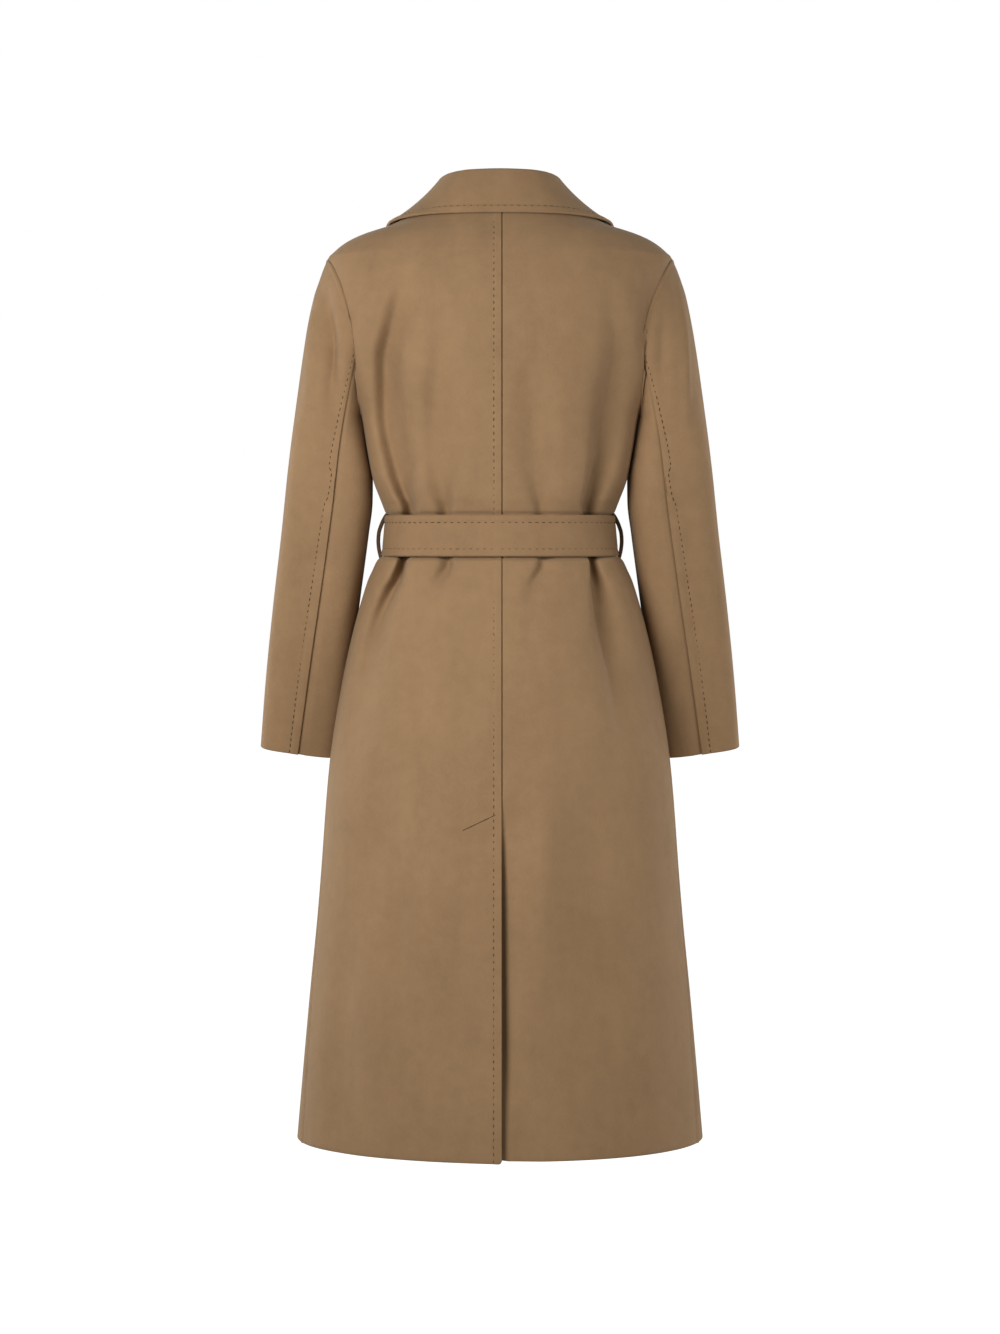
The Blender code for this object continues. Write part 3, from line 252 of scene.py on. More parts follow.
BACK_SMALL_RIGHT = rows_of(
    Fold,
    (0.012, 0.016, 0.0000, 0.006),
    (0.000, 0.020, 0.0000, 0.008),
    (-0.033, 0.034, 0.0000, 0.011),
    (-0.100, 0.046, 0.0000, 0.014),
    (-0.178, 0.049, 0.0010, 0.018),
    (-0.235, 0.038, 0.0060, 0.022),
    (-0.317, 0.041, 0.0066, 0.021),
    (-0.350, 0.044, 0.0066, 0.018),
    (-0.372, 0.047, 0.0070, 0.013),
    (-0.403, 0.048, 0.0050, 0.011),
    (-0.436, 0.049, 0.0090, 0.012),
    (-0.462, 0.039, 0.0050, 0.015),
    (-0.500, 0.034, 0.0012, 0.018),
    (-0.600, 0.045, 0.0000, 0.020),
    (-1.120, 0.075, 0.0000, 0.028),
)
FRONT_FOLD = rows_of(
    Fold,
    (0.012, 0.0540, 0.0000, 0.0020),
    (0.000, 0.0640, 0.0000, 0.0025),
    (-0.012, 0.0800, 0.0000, 0.0060),
    (-0.033, 0.1000, 0.0000, 0.0120),
    (-0.072, 0.1220, 0.0000, 0.0160),
    (-0.150, 0.1240, 0.0000, 0.0180),
    (-0.260, 0.1200, 0.0050, 0.0170),
    (-0.330, 0.1100, 0.0105, 0.0160),
    (-0.368, 0.1030, 0.0160, 0.0130),
    (-0.403, 0.1020, 0.0120, 0.0110),
    (-0.438, 0.1070, 0.0175, 0.0140),
    (-0.490, 0.1180, 0.0100, 0.0170),
    (-0.560, 0.1300, 0.0038, 0.0220),
    (-0.700, 0.1420, 0.0000, 0.0280),
    (-1.120, 0.1700, 0.0000, 0.0340),
)
FoldSide = namedtuple("FoldSide", "inner outer belt_inner belt_outer reach")
FoldForm = namedtuple("FoldForm", "chest skirt")
LEFT_FORM = FoldForm(
    chest=FoldSide(0.70, 1.50, 3.60, 1.50, 0.050),
    skirt=FoldSide(1.10, 1.25, 4.20, 1.45, 0.070),
)
RIGHT_FORM = FoldForm(
    chest=FoldSide(1.80, 0.85, 7.00, 1.05, 0.075),
    skirt=FoldSide(1.80, 0.80, 9.00, 1.15, 0.160),
)
SMALL_LEFT_FORM = FoldForm(
    chest=FoldSide(0.75, 1.05, 3.20, 1.30, 0.045),
    skirt=FoldSide(0.75, 1.05, 3.60, 1.40, 0.060),
)
SMALL_RIGHT_FORM = FoldForm(
    chest=FoldSide(1.10, 0.95, 2.40, 1.05, 0.060),
    skirt=FoldSide(1.10, 0.95, 3.00, 1.10, 0.060),
)
FRONT_FORM = FoldForm(
    chest=FoldSide(1.30, 1.10, 3.20, 1.20, 0.055),
    skirt=FoldSide(1.30, 1.10, 3.20, 1.20, 0.055),
)
FOLD_RIDGE = 0.03
FOLD_RIDGE_PLACE = 1.2
FOLD_RIDGE_SHARPNESS = 1.5

Crease = namedtuple("Crease", "across height to_across to_height depth half_width")
BACK_LEFT_CREASES = rows_of(
    Crease,
    (0.086, -0.600, 0.084, -1.020, -0.0095, 0.025),
    (0.140, -0.660, 0.150, -0.900, 0.0032, 0.030),
    (0.050, -0.880, 0.060, -1.150, 0.0014, 0.030),
    (0.176, -0.800, 0.190, -1.180, 0.0060, 0.022),
    (0.100, -0.150, 0.096, -0.360, -0.0018, 0.018),
)
BACK_RIGHT_CREASES = rows_of(
    Crease,
    (0.050, -0.600, 0.048, -1.020, -0.0095, 0.024),
    (0.118, -0.600, 0.122, -0.900, 0.0040, 0.030),
    (0.090, -0.880, 0.105, -1.170, 0.0014, 0.032),
    (0.160, -0.800, 0.170, -1.150, -0.0014, 0.028),
    (0.070, -0.180, 0.070, -0.360, -0.0018, 0.018),
    (0.184, -0.080, 0.166, -0.220, 0.0060, 0.010),
)
FRONT_CREASES = rows_of(
    Crease,
    (0.060, -0.640, 0.070, -1.000, -0.0020, 0.028),
    (0.140, -0.620, 0.150, -0.920, 0.0024, 0.030),
    (0.090, -0.150, 0.100, -0.330, -0.0016, 0.020),
    (0.110, -0.880, 0.120, -1.160, 0.0014, 0.030),
)

FrontEdge = namedtuple("FrontEdge", "height edge lap")
FRONT_EDGE = rows_of(
    FrontEdge,
    (0.012, 0.0470, 0.0495),
    (0.000, 0.0570, 0.0595),
    (-0.030, 0.0505, 0.0660),
    (-0.060, 0.0425, 0.0660),
    (-0.100, 0.0275, 0.0540),
    (-0.180, -0.0040, 0.0360),
    (-0.260, -0.0390, 0.0450),
    (-0.335, -0.0720, 0.0740),
    (-0.370, -0.0750, 0.0750),
    (-0.403, -0.0760, 0.0760),
    (-0.480, -0.0790, 0.0790),
    (-1.120, -0.1050, 0.1050),
)
LAP_MARGIN = 0.004
CHEST_LAP = 0.0090
SKIRT_LAP = 0.0036
LAP_STARTS = (-0.100, -0.160)
LAP_THINS = (-0.350, -0.378)

LapelRow = namedtuple("LapelRow", "share roll_height edge_across edge_height")
LAPEL = rows_of(
    LapelRow,
    (0.00, -0.0600, 0.1280, -0.1270),
    (0.25, -0.1250, 0.1230, -0.1780),
    (0.50, -0.1900, 0.0960, -0.2320),
    (0.75, -0.2580, 0.0480, -0.2830),
    (1.00, -0.3270, -0.0580, -0.3320),
)
LAPEL_ROLL_GAP = 0.0008
LAPEL_EDGE_GAP = 0.0024
LAPEL_ROWS = 90
LAPEL_COLUMNS = 50

SleeveSection = namedtuple("SleeveSection", "height outer inner middle half_depth")
SLEEVE = rows_of(
    SleeveSection,
    (-0.0640, 0.2000, 0.1660, 0.000, 0.0740),
    (-0.0720, 0.2064, 0.1660, 0.000, 0.0740),
    (-0.0792, 0.2100, 0.1660, 0.000, 0.0740),
    (-0.0864, 0.2130, 0.1660, 0.000, 0.0740),
    (-0.1008, 0.2180, 0.1660, 0.000, 0.0740),
    (-0.1152, 0.2226, 0.1660, 0.000, 0.0740),
    (-0.1440, 0.2288, 0.1660, 0.000, 0.0740),
    (-0.1920, 0.2370, 0.1660, 0.003, 0.0730),
    (-0.2400, 0.2436, 0.1660, 0.006, 0.0715),
    (-0.2620, 0.2462, 0.1654, 0.007, 0.0700),
    (-0.2750, 0.2477, 0.1634, 0.007, 0.0687),
    (-0.3050, 0.2512, 0.1585, 0.007, 0.0655),
    (-0.3360, 0.2550, 0.1535, 0.008, 0.0625),
    (-0.3600, 0.2576, 0.1538, 0.009, 0.0600),
    (-0.4000, 0.2620, 0.1586, 0.012, 0.0565),
    (-0.4800, 0.2722, 0.1696, 0.022, 0.0530),
    (-0.5710, 0.2826, 0.1820, 0.036, 0.0495),
    (-0.6620, 0.2910, 0.1940, 0.052, 0.0465),
    (-0.6850, 0.2930, 0.1970, 0.056, 0.0460),
)
SLEEVE_CREASES_LEFT = rows_of(
    Crease,
    (0.211, -0.070, 0.195, -0.280, 0.0220, 0.010),
    (0.222, -0.080, 0.228, -0.290, -0.0040, 0.008),
    (0.236, -0.330, 0.196, -0.380, 0.0016, 0.012),
    (0.240, -0.420, 0.200, -0.450, 0.0014, 0.012),
)
SLEEVE_CREASES_RIGHT = rows_of(
    Crease,
    (0.212, -0.070, 0.222, -0.300, -0.0080, 0.006),
    (0.192, -0.080, 0.190, -0.270, 0.0080, 0.010),
    (0.232, -0.350, 0.190, -0.400, 0.0016, 0.012),
    (0.244, -0.450, 0.206, -0.480, 0.0014, 0.012),
)
SLEEVE_CREASE_TURN = 0.45
SLEEVE_CREASE_FADE = 10
CUFF_HEIGHT = -0.6604
CUFF_TILT_OUT = 0.130
CUFF_TILT_FRONT = 0.120
CUFF_HIND_SEAM = math.radians(-83.0)
CUFF_FORE_SEAM = math.radians(130.0)
RING_SEAM = 7.0 / 12.0
SEAM_SWING = 3.0
SeamPlace = namedtuple("SeamPlace", "height across")
HIND_SEAM = rows_of(
    SeamPlace,
    (-0.7000, 0.2476),
    (-0.6610, 0.2420),
    (-0.5404, 0.2240),
    (-0.4767, 0.2140),
    (-0.3635, 0.1975),
    (-0.2975, 0.1895),
    (-0.2385, 0.1800),
    (-0.1916, 0.1705),
)
HIND_SEAM_SPAN = math.radians(40.0)
SLEEVE_UNDERLAP = 0.045
SLEEVE_UNDERLAP_STEPS = (1.0, 0.66, 0.33)
UNDERLAP_RECESS = 0.0027
UNDERLAP_ENDS = (0.0030, 0.0004)
CAP_ROUNDNESS = 0.30
CAP_FIT_POWER = 8
CAP_RIDGE = 0.0007
CAP_RIDGE_RISE = 0.0030
CAP_RIDGE_FALL = (0.0095, 0.0065)
UNDERARM_FIT_POWER = 18
TUCK = (-0.008, 0.020, 0.0)
TUCK_TURN = 2.45
TUCK_SPAN = 0.55
TUCK_RETURN = 0.988
UNDERARM_FIT = (-0.05, -0.70)
UNDERARM_EASE = 0.045
SLEEVE_POWER = 0.54
SLEEVE_POWER_STARTS = (-0.200, -0.310)
UNDERARM_EASE_TURNS = (math.radians(155.0), math.radians(115.0))
UNDERARM_EASE_STEPS = (-0.030, -0.015, 0.0, 0.015, 0.030)
SLEEVE_ROWS = 190
SLEEVE_ROW_CROWDING = 1.5
UPPER_COLUMNS = 64
UNDER_COLUMNS = 44
UPPER_WIDTH = 0.180
SPACING_ROUNDS = 3
UNDER_WIDTH = 0.130
CAP_SEAM_WAY = (0.5, 0.0, -1.0)
LEAST_ROOM = 1e-9
LEAST_TURN = 1e-4
RING_INSET = 1e-7

Station = namedtuple("Station", "place seam fold edge_across edge_height edge_face")
COLLAR = rows_of(
    Station,
    (0.00, (0.0000, -0.0572, 0.0008), (0.0000, -0.0640, 0.0270), 0.0000, -0.0300, BACK),
    (0.20, (0.0300, -0.0515, 0.0008), (0.0350, -0.0580, 0.0268), 0.0470, -0.0298, BACK),
    (0.40, (0.0560, -0.0335, 0.0008), (0.0600, -0.0365, 0.0260), 0.0930, -0.0295, BACK),
    (0.55, (0.0668, -0.0040, 0.0008), (0.0712, -0.0040, 0.0228), 0.1310, -0.0322, BACK),
    (0.70, (0.0535, 0.0290, 0.0008), (0.0590, 0.0330, 0.0150), 0.1390, -0.0540, FRONT),
    (0.85, (0.0485, 0.0640, -0.0290), (0.0420, 0.0690, -0.0200), 0.1320, -0.0810, FRONT),
    (1.00, (0.0428, 0.0810, -0.0515), (0.0385, 0.0850, -0.0480), 0.1120, -0.1030, FRONT),
)
COLLAR_COLUMNS = 200
COLLAR_STAND_ROWS = 12
COLLAR_ROLL_ROWS = 12
COLLAR_FALL_ROWS = 40
COLLAR_ROLL = 0.0045
COLLAR_EDGE_LIFT = 0.0038
COLLAR_ROOM = 0.0038
COLLAR_PUSH_EASE = 0.0006
COLLAR_BOW = 0.0015
COLLAR_SIDE_BOW = -0.0030
COLLAR_SIDE_REACH = (0.25, 0.50)
PUSH_ROUNDS = 3
PUSH_STEP = 0.0005

KNOT_HALF_SIZE = (0.0235, 0.0100, 0.0270)
KNOT_ACROSS = -0.006
KNOT_SQUARENESS = 0.62
KNOT_TILT = math.radians(8.0)
KNOT_GAP = 0.0005
KNOT_ROWS = 64
KNOT_COLUMNS = 96
KnotCrease = namedtuple("KnotCrease", "across height slope depth half_width")
KNOT_CREASES = rows_of(
    KnotCrease,
    (0.000, 0.014, -0.45, 0.0022, 0.0022),
    (0.002, 0.003, -0.30, 0.0015, 0.0026),
    (-0.002, -0.009, -0.55, 0.0020, 0.0024),
    (0.004, -0.018, 0.50, 0.0014, 0.0022),
)

BeltEnd = namedtuple("BeltEnd", "node top_across bottom_across bottom layer")
BELT_ENDS = rows_of(
    BeltEnd,
    ("belt_end_left", -0.012, -0.064, -0.815, 0.0),
    ("belt_end_right", 0.000, 0.046, -0.770, 0.0053),
)
BELT_END_TOP = -0.4325
BELT_END_WIDTH = 0.046
BELT_END_GATHER = 0.20
BELT_END_GATHER_REACH = 0.060
BELT_END_PLEAT = 0.0012
BELT_END_PLEATS = 3
BELT_END_ROWS = 150
BELT_END_COLUMNS = 36
BELT_END_EASE = 0.0008
BELT_END_KNOT_REACH = 0.0030
BELT_END_KNOT_FREE = -0.480
BELT_END_PARTED = (-0.590, -0.680)

LoopPoint = namedtuple("LoopPoint", "across height")
LOOP = rows_of(
    LoopPoint,
    (0.1340, -0.3740),
    (0.1368, -0.3756),
    (0.1416, -0.3828),
    (0.1452, -0.3912),
    (0.1476, -0.3996),
    (0.1483, -0.4092),
    (0.1477, -0.4176),
    (0.1463, -0.4250),
    (0.1446, -0.4310),
    (0.1412, -0.4356),
    (0.1370, -0.4364),
)
LOOP_CLOTH = 0.0046
LOOP_END_CLOTH = 0.0080
LOOP_END_REACH = 0.13
LOOP_WIDTH = 0.0090
LOOP_ROWS = 60
LOOP_COLUMNS = 20
LOOP_SQUARENESS = 0.55

EDGE_STEPS = (0.0, 0.0015, 0.0030, 0.0045, 0.0060, 0.0072,
              0.0082, 0.0091, 0.0100, 0.0112, 0.0130, 0.0155)
EDGE_PLACES = np.array(EDGE_STEPS) / EDGE_STEPS[-1]
EDGE_SHARE = 0.5
STITCH_COLUMN = 7
FLAT_COLUMNS = 8
FOLD_COLUMNS = 12
FOLD_CROWDING = 1.4
SIDE_COLUMNS = 18
SIDE_CROWDING = 1.6
FOLD_SPAN = 1.5
FOLD_ROOM = 0.35
FOLD_SIDE_ROOM = 0.75
SKIRT_ROWS = 130
WAIST_ROWS = 64
CHEST_ROWS = 24
ARMHOLE_ROWS = 48
SHOULDER_ROWS = 22
WAIST_LOW = -0.460
WAIST_HIGH = -0.350
RIM_PLACES = (0.13, 0.50, 1.00)
GROOVE_HALF_WIDTH = 0.0013
BELT_COLUMNS = 420
BELT_FACE_ROWS = 49
BELT_EDGE_ROWS = 7
BELT_BULGE = 0.0006
BELT_GROOVE = 0.0003

HemDrop = namedtuple("HemDrop", "centre reach")
HEM_DROPS = {
    ("left", BACK): HemDrop(-0.0016, 0.090),
    ("right", BACK): HemDrop(0.0006, 0.070),
    ("left", FRONT): HemDrop(0.0, 0.080),
    ("right", FRONT): HemDrop(-0.0015, 0.080),
}

VENT_TACK = ((0.0040, -0.7285), (0.0450, -0.7480))
VENT_TACK_POINTS = 24

STITCH_RINGS = ((-0.42, 0.60), (-0.18, 1.00), (0.18, 1.00), (0.42, 0.60))
STITCH_TIP = 0.5
STITCH_SIDES = 6
STITCH_SINK = 0.55
STITCH_SEED = 11
STITCH_UNEVEN = 0.16
STITCH_SWAY = 0.10
STITCH_MARGIN = 0.003
STITCH_DIP = 8.0
STITCH_SLOPE_REACH = 0.25
NAP_WAVE = 5
NAP_SINK = 0.45
NAP_SINK_SPREAD = 0.30
NAP_HIDES = 0.00035
NAP_HIDES_STARTS = (-0.425, -0.440)
NAP_HIDES_ENDS = (-0.670, -0.600)
Run = namedtuple("Run", "points outward pitch length width")

Noise = namedtuple("Noise", "scale detail roughness fall strength")
WOOL_CLOUD = Noise(11.0, 3.0, 0.55, 1.0, "Cloud")
WOOL_PATCH = Noise(70.0, 3.0, 0.60, 1.0, "Cloud")
WOOL_HAIR = Noise(900.0, 4.0, 0.70, 0.28, "Hair")
WOOL_STREAK = Noise(26.0, 3.0, 0.55, 0.14, "Cloud")
WOOL_FUZZ = Noise(2400.0, 2.0, 0.60, 1.0, None)
THREAD_STRANDS = Noise(1800.0, 2.0, 0.60, 1.0, None)
WOOL_SOCKETS = (
    ("INPUT", "Wool", "NodeSocketColor"),
    ("INPUT", "Cloud", "NodeSocketFloat"),
    ("INPUT", "Hair", "NodeSocketFloat"),
    ("OUTPUT", "Color", "NodeSocketColor"),
    ("OUTPUT", "Roughness", "NodeSocketFloat"),
    ("OUTPUT", "Height", "NodeSocketFloat"),
)
NOISE_MEAN = 0.5
FUZZ_SHARE = 0.5
WOOL_ROUGHNESS = 0.80
WOOL_ROUGHNESS_SPREAD = 0.16
WOOL_SPECULAR = 0.22
SHEEN_ROUGHNESS = 0.45
SHEEN_TINT = (0.86, 0.76, 0.60, 1.0)
THREAD_TONES = (0.7, 1.3)
THREAD_ROUGHNESS = 0.65
THREAD_SPECULAR = 0.1
FLOOR_ROUGHNESS = 0.9
WHITE = (1.0, 1.0, 1.0, 1.0)
# The loops' wool is a much darker copy of the coat's wool: partly the loops' own darker cord, partly
# painted shade for their sideways faces in shadow.
WOOL_NAMES = {"wool": "camel_wool", "belt_wool": "belt_camel_wool", "loop_wool": "loop_brown_wool"}

FLOOR_SIZE = 60.0
FLOOR_SEGMENTS = 48
Lamp = namedtuple("Lamp", "power place size")
LAMPS = rows_of(
    Lamp,
    ("key", (-0.75, -1.2, -0.14), 0.8),
    ("fill", (1.3, -1.3, -0.45), 1.2),
    ("left_rim", (-1.6, 0.8, -0.4), 1.2),
    ("right_rim", (1.6, 0.5, -0.45), 1.2),
    ("rear", (2.2, 1.8, 0.0), 1.8),
)
LIGHT_TARGET = (0.0, 0.0, -0.50)

Cut = namedtuple("Cut", "width length area")


def smooth_curve(knots, values, at):
    """Cubic through the values without overshoot; slopes are harmonic means of the rises beside them."""
    knots = np.asarray(knots, float)
    values = np.asarray(values, float)
    at = np.clip(np.asarray(at, float), knots[0], knots[-1])
    step = np.diff(knots)
    rise = np.diff(values) / step
    slope = np.zeros_like(values)
    slope[0] = rise[0]
    slope[-1] = rise[-1]
    product = rise[:-1] * rise[1:]
    total = np.where(product > 0.0, rise[:-1] + rise[1:], 1.0)
    slope[1:-1] = np.where(product > 0.0, 2.0 * product / total, 0.0)
    cell = np.clip(np.searchsorted(knots, at, side="right") - 1, 0, len(step) - 1)
    share = (at - knots[cell]) / step[cell]
    back = 1.0 - share
    return (values[cell] * (1.0 + 2.0 * share) * back ** 2
            + values[cell + 1] * (3.0 - 2.0 * share) * share ** 2
            + step[cell] * share * back * (slope[cell] * back - slope[cell + 1] * share))


def column(table, name, at, key="height"):
    """One named column of a table, read smoothly at the given heights, or at values of another key."""
    rows = sorted(table, key=lambda row: getattr(row, key))
    return smooth_curve([getattr(row, key) for row in rows], [getattr(row, name) for row in rows], at)


def soft_step(value, start, end):
    """0 at start, 1 at end, with an even ease between them."""
    share = np.clip((value - start) / (end - start), 0.0, 1.0)
    return share * share * (3.0 - 2.0 * share)


def bell(value):
    """Bell curve: 1 at 0, falling off with the square of the value."""
    return np.exp(-np.square(value))


def unit(vectors):
    """Vectors along the last axis, made one long."""
    return vectors / np.linalg.norm(vectors, axis=-1, keepdims=True)


def signed_power(value, power):
    """Power of the size of a value, with the value's own sign."""
    return np.sign(value) * np.abs(value) ** power


def grid_outward(points, sign):
    """Normals of a grid of points: cross product of its column and row directions, times the sign."""
    along_row = np.gradient(points, axis=1)
    along_column = np.gradient(points, axis=0)
    return sign * unit(np.cross(along_row, along_column))


def trimmed(points, gap, ends=True):
    """Grid of points with its side edges, and where asked its end edges, drawn in by half the gap."""
    points = points.copy()
    half = gap / 2.0
    points[:, 0] += half * unit(points[:, 1] - points[:, 0])
    points[:, -1] += half * unit(points[:, -2] - points[:, -1])
    if ends:
        points[0] += half * unit(points[1] - points[0])
        points[-1] += half * unit(points[-2] - points[-1])
    return points


def waist_rise(y, height):
    """How much the waist sits higher in front and lower behind: a slope that fades off the belt."""
    return WAIST_TILT * y * bell((height - BELT_MIDDLE) / WAIST_TILT_REACH)


def body_point(side, angle, height, lift, sink=None):
    """Point on the body form: a level section whose back and front are halves of two ovals.

    The oval raises sine and cosine of the angle to two over its squareness; the point then moves out
    level, square to the oval, by lift(across, height), and forward by sink(across, height).
    """
    width = column(BODY, "half_width", height)
    power = column(BODY, "squareness", height)
    sine = np.sin(angle)
    cosine = np.cos(angle)
    back = column(BODY, "back_depth", height)
    front = column(BODY, "front_depth", height)
    depth = np.where(cosine > 0.0, back, front)
    wide = signed_power(sine, 2.0 / power)
    deep = signed_power(cosine, 2.0 / power)
    out_x = signed_power(wide, power - 1.0) / width
    out_y = -signed_power(deep, power - 1.0) / depth
    size = np.hypot(out_x, out_y)
    out = lift(width * wide, height)
    x = width * wide + out * out_x / size
    y = column(BODY, "middle", height) - depth * deep + out * out_y / size
    rise = waist_rise(y, height)
    if sink is not None:
        y = y + sink(width * wide, height)
    return np.stack([side * x, y, height + rise], axis=-1)


def angle_at(across, height, face):
    """Angle round the body of the place at a distance across, on the back or the front."""
    width = column(BODY, "half_width", height)
    power = column(BODY, "squareness", height)
    share = np.clip(across / width, -1.0, 1.0)
    angle = np.arcsin(signed_power(share, power / 2.0))
    return angle if face == BACK else math.pi - angle


def armhole_depth(height):
    """Half the armhole's depth, front to back, at a height: the armhole is an ellipse."""
    share = np.clip((height - ARMHOLE_MIDDLE) / ARMHOLE_HALF_HEIGHT, -1.0, 1.0)
    return ARMHOLE_HALF_DEPTH * np.sqrt(1.0 - share ** 2)


def side_angle(height, face):
    """Angle of a panel's side edge: side seam, then armhole, then shoulder seam."""
    power = column(BODY, "squareness", height)
    depth = column(BODY, "back_depth" if face == BACK else "front_depth", height)
    deep = (armhole_depth(height) / depth) ** (power / 2.0)
    armhole = np.arccos(deep) if face == BACK else math.pi - np.arccos(deep)
    seam = np.radians(column(SIDE_SEAM, "angle", height))
    in_armhole = (height > UNDERARM) & (height < SHOULDER_TIP)
    return np.where(in_armhole, armhole, np.where(height <= UNDERARM, seam, math.pi / 2.0))


def off_belt(height):
    """1 away from the belt and 0 under it, where the cloth lies flat."""
    above = soft_step(height, BELT_TOP, BELT_TOP + BELT_FLAT_EASE)
    below = soft_step(height, BELT_BOTTOM, BELT_BOTTOM - BELT_FLAT_EASE)
    return np.maximum(above, below)


def fold_lift(table, form, across, height):
    """Gathered fold: a trough with a steepness of its own on each side, pinched close to the belt.

    Minus the depth times a bell of the distance from the fold line in half widths, times the steepness;
    on the centre side a second bell raises a soft ridge.
    """
    place = (across - column(table, "across", height)) / column(table, "half_width", height)
    below = soft_step(height, BELT_TOP, BELT_BOTTOM)
    here = FoldSide(*(chest + (skirt - chest) * below for chest, skirt in zip(form.chest, form.skirt)))
    near_belt = bell((height - BELT_MIDDLE) / here.reach)
    inner = here.inner + (here.belt_inner - here.inner) * near_belt
    outer = here.outer + (here.belt_outer - here.outer) * near_belt
    trough = bell(np.where(place < 0.0, inner, outer) * place)
    ridge = FOLD_RIDGE * bell(FOLD_RIDGE_SHARPNESS * (place + FOLD_RIDGE_PLACE))
    return -column(table, "depth", height) * (trough - ridge * off_belt(height))


def crease_lift(creases, across, height):
    """Soft creases along straight lines: minus the depth times a bell of the distance from the line.

    A squared sine along the line fades the crease out at both of its ends; a negative depth is a ridge.
    """
    lift = np.zeros(np.broadcast(across, height).shape)
    for crease in creases:
        way_across = crease.to_across - crease.across
        way_up = crease.to_height - crease.height
        length = math.hypot(way_across, way_up)
        from_across = across - crease.across
        from_height = height - crease.height
        along = np.clip((from_across * way_across + from_height * way_up) / length ** 2, 0.0, 1.0)
        aside = (from_across * way_up - from_height * way_across) / length
        lift -= crease.depth * np.sin(math.pi * along) ** 2 * bell(aside / crease.half_width)
    return lift


def no_lift(across, height):
    """Lift of the bare body form: none."""
    return np.zeros(np.broadcast(across, height).shape)


def stitch_bell(sizes, reach):
    """Bell across a row of pick stitches, from the distance to the edge that they follow."""
    return bell((reach - sizes.stitch_inset) / GROOVE_HALF_WIDTH)


def strip_lift(sizes, reach):
    """Raised strip along a lapped seam, with the groove that its pick stitches pull in."""
    inset = sizes.stitch_inset
    strip = sizes.strip_rise * (1.0 - soft_step(reach, inset, inset + GROOVE_HALF_WIDTH))
    return strip - sizes.stitch_groove * stitch_bell(sizes, reach)


def back_left_lift(sizes):
    """Lift of the left back: creases, the lapped centre seam and the vent edge that stands off."""
    def lift(across, height):
        reach = across + CENTRE_SEAM
        proud = VENT_PROUD * soft_step(height, VENT_TOP, VENT_PROUD_FULL)
        proud = proud * bell(reach / VENT_PROUD_REACH)
        return crease_lift(BACK_LEFT_CREASES, across, height) + strip_lift(sizes, reach) + proud
    return lift


def back_right_lift(across, height):
    """Lift of the right back: creases, less the deepest of its recesses at the seam and the vent."""
    vent = VENT_RECESS * soft_step(height, VENT_RECESS_STARTS, VENT_RECESS_FULL)
    vent = vent * soft_step(across, VENT_RECESS_REACH, VENT_RECESS_FLAT)
    seam = SEAM_RECESS * soft_step(across, *SEAM_RECESS_ENDS)
    wide = column(VENT, "width", height)
    gap = column(VENT, "depth", height) * soft_step(across, VENT_GAP_END + wide, VENT_GAP_END)
    recess = np.maximum(np.maximum(vent, seam), gap)
    return crease_lift(BACK_RIGHT_CREASES, across, height) - recess


def back_sink(side):
    """How far the gathered folds of either back go in, straight toward the front."""
    folds = {
        LEFT: ((BACK_SMALL_LEFT, SMALL_LEFT_FORM), (BACK_DEEP_LEFT, LEFT_FORM)),
        RIGHT: ((BACK_SMALL_RIGHT, SMALL_RIGHT_FORM), (BACK_DEEP_RIGHT, RIGHT_FORM)),
    }[side]

    def sink(across, height):
        return -sum(fold_lift(table, form, across, height) for table, form in folds)
    return sink


def front_left_lift(across, height):
    """Lift of the left front, which lies under the other one: its fold and creases."""
    fold = fold_lift(FRONT_FOLD, FRONT_FORM, across, height)
    return fold + crease_lift(FRONT_CREASES, across, height)


def front_right_lift(sizes):
    """Lift of the right front: that of the left, the step over it, and the groove along its edge."""
    def lift(across, height):
        lap = column(FRONT_EDGE, "lap", height)
        chest = CHEST_LAP * soft_step(height, *LAP_STARTS)
        layer = chest + (SKIRT_LAP - CHEST_LAP) * soft_step(height, *LAP_THINS)
        fold_start = column(FRONT_FOLD, "across", height) - column(FRONT_FOLD, "half_width", height)
        ramp = np.clip((fold_start - across) / (fold_start - lap - LAP_MARGIN), 0.0, 1.0)
        reach = across - front_edge(height)
        groove = sizes.stitch_groove * stitch_bell(sizes, reach)
        lapel_end = LAPEL[-1].edge_height
        below_lapel = soft_step(height, lapel_end, lapel_end - BELT_FLAT_EASE)
        return front_left_lift(across, height) + layer * ramp - groove * below_lapel
    return lift


def left_back_edge(height):
    """The left back's own edge: the centre seam, all the way down."""
    return np.full_like(height, -CENTRE_SEAM)


def right_back_edge(height):
    """The right back's own edge, under the left back: at the seam, and further below the vent's top."""
    return SEAM_UNDERLAP + (UNDERLAP - SEAM_UNDERLAP) * soft_step(height, VENT_TOP, VENT_FULL)


def front_edge(height):
    """Either front's own edge."""
    return column(FRONT_EDGE, "edge", height)


def panel_heights():
    """Heights of the panel rows from the hem up; the armhole's rows crowd toward both of its ends."""
    turns = np.linspace(math.pi, 0.0, ARMHOLE_ROWS + 1)
    armhole = ARMHOLE_MIDDLE + ARMHOLE_HALF_HEIGHT * np.cos(turns)
    return np.concatenate([
        np.linspace(HEM, WAIST_LOW, SKIRT_ROWS, endpoint=False),
        np.linspace(WAIST_LOW, WAIST_HIGH, WAIST_ROWS, endpoint=False),
        np.linspace(WAIST_HIGH, UNDERARM, CHEST_ROWS, endpoint=False),
        armhole,
        np.linspace(SHOULDER_TIP, NECK, SHOULDER_ROWS + 1)[1:],
    ])


def between(start, end, count, crowding=1.0):
    """Columns from after the start up to the end, even or crowding toward the end."""
    share = 1.0 - (1.0 - np.linspace(0.0, 1.0, count + 1)[1:]) ** crowding
    return start + share * (end - start)


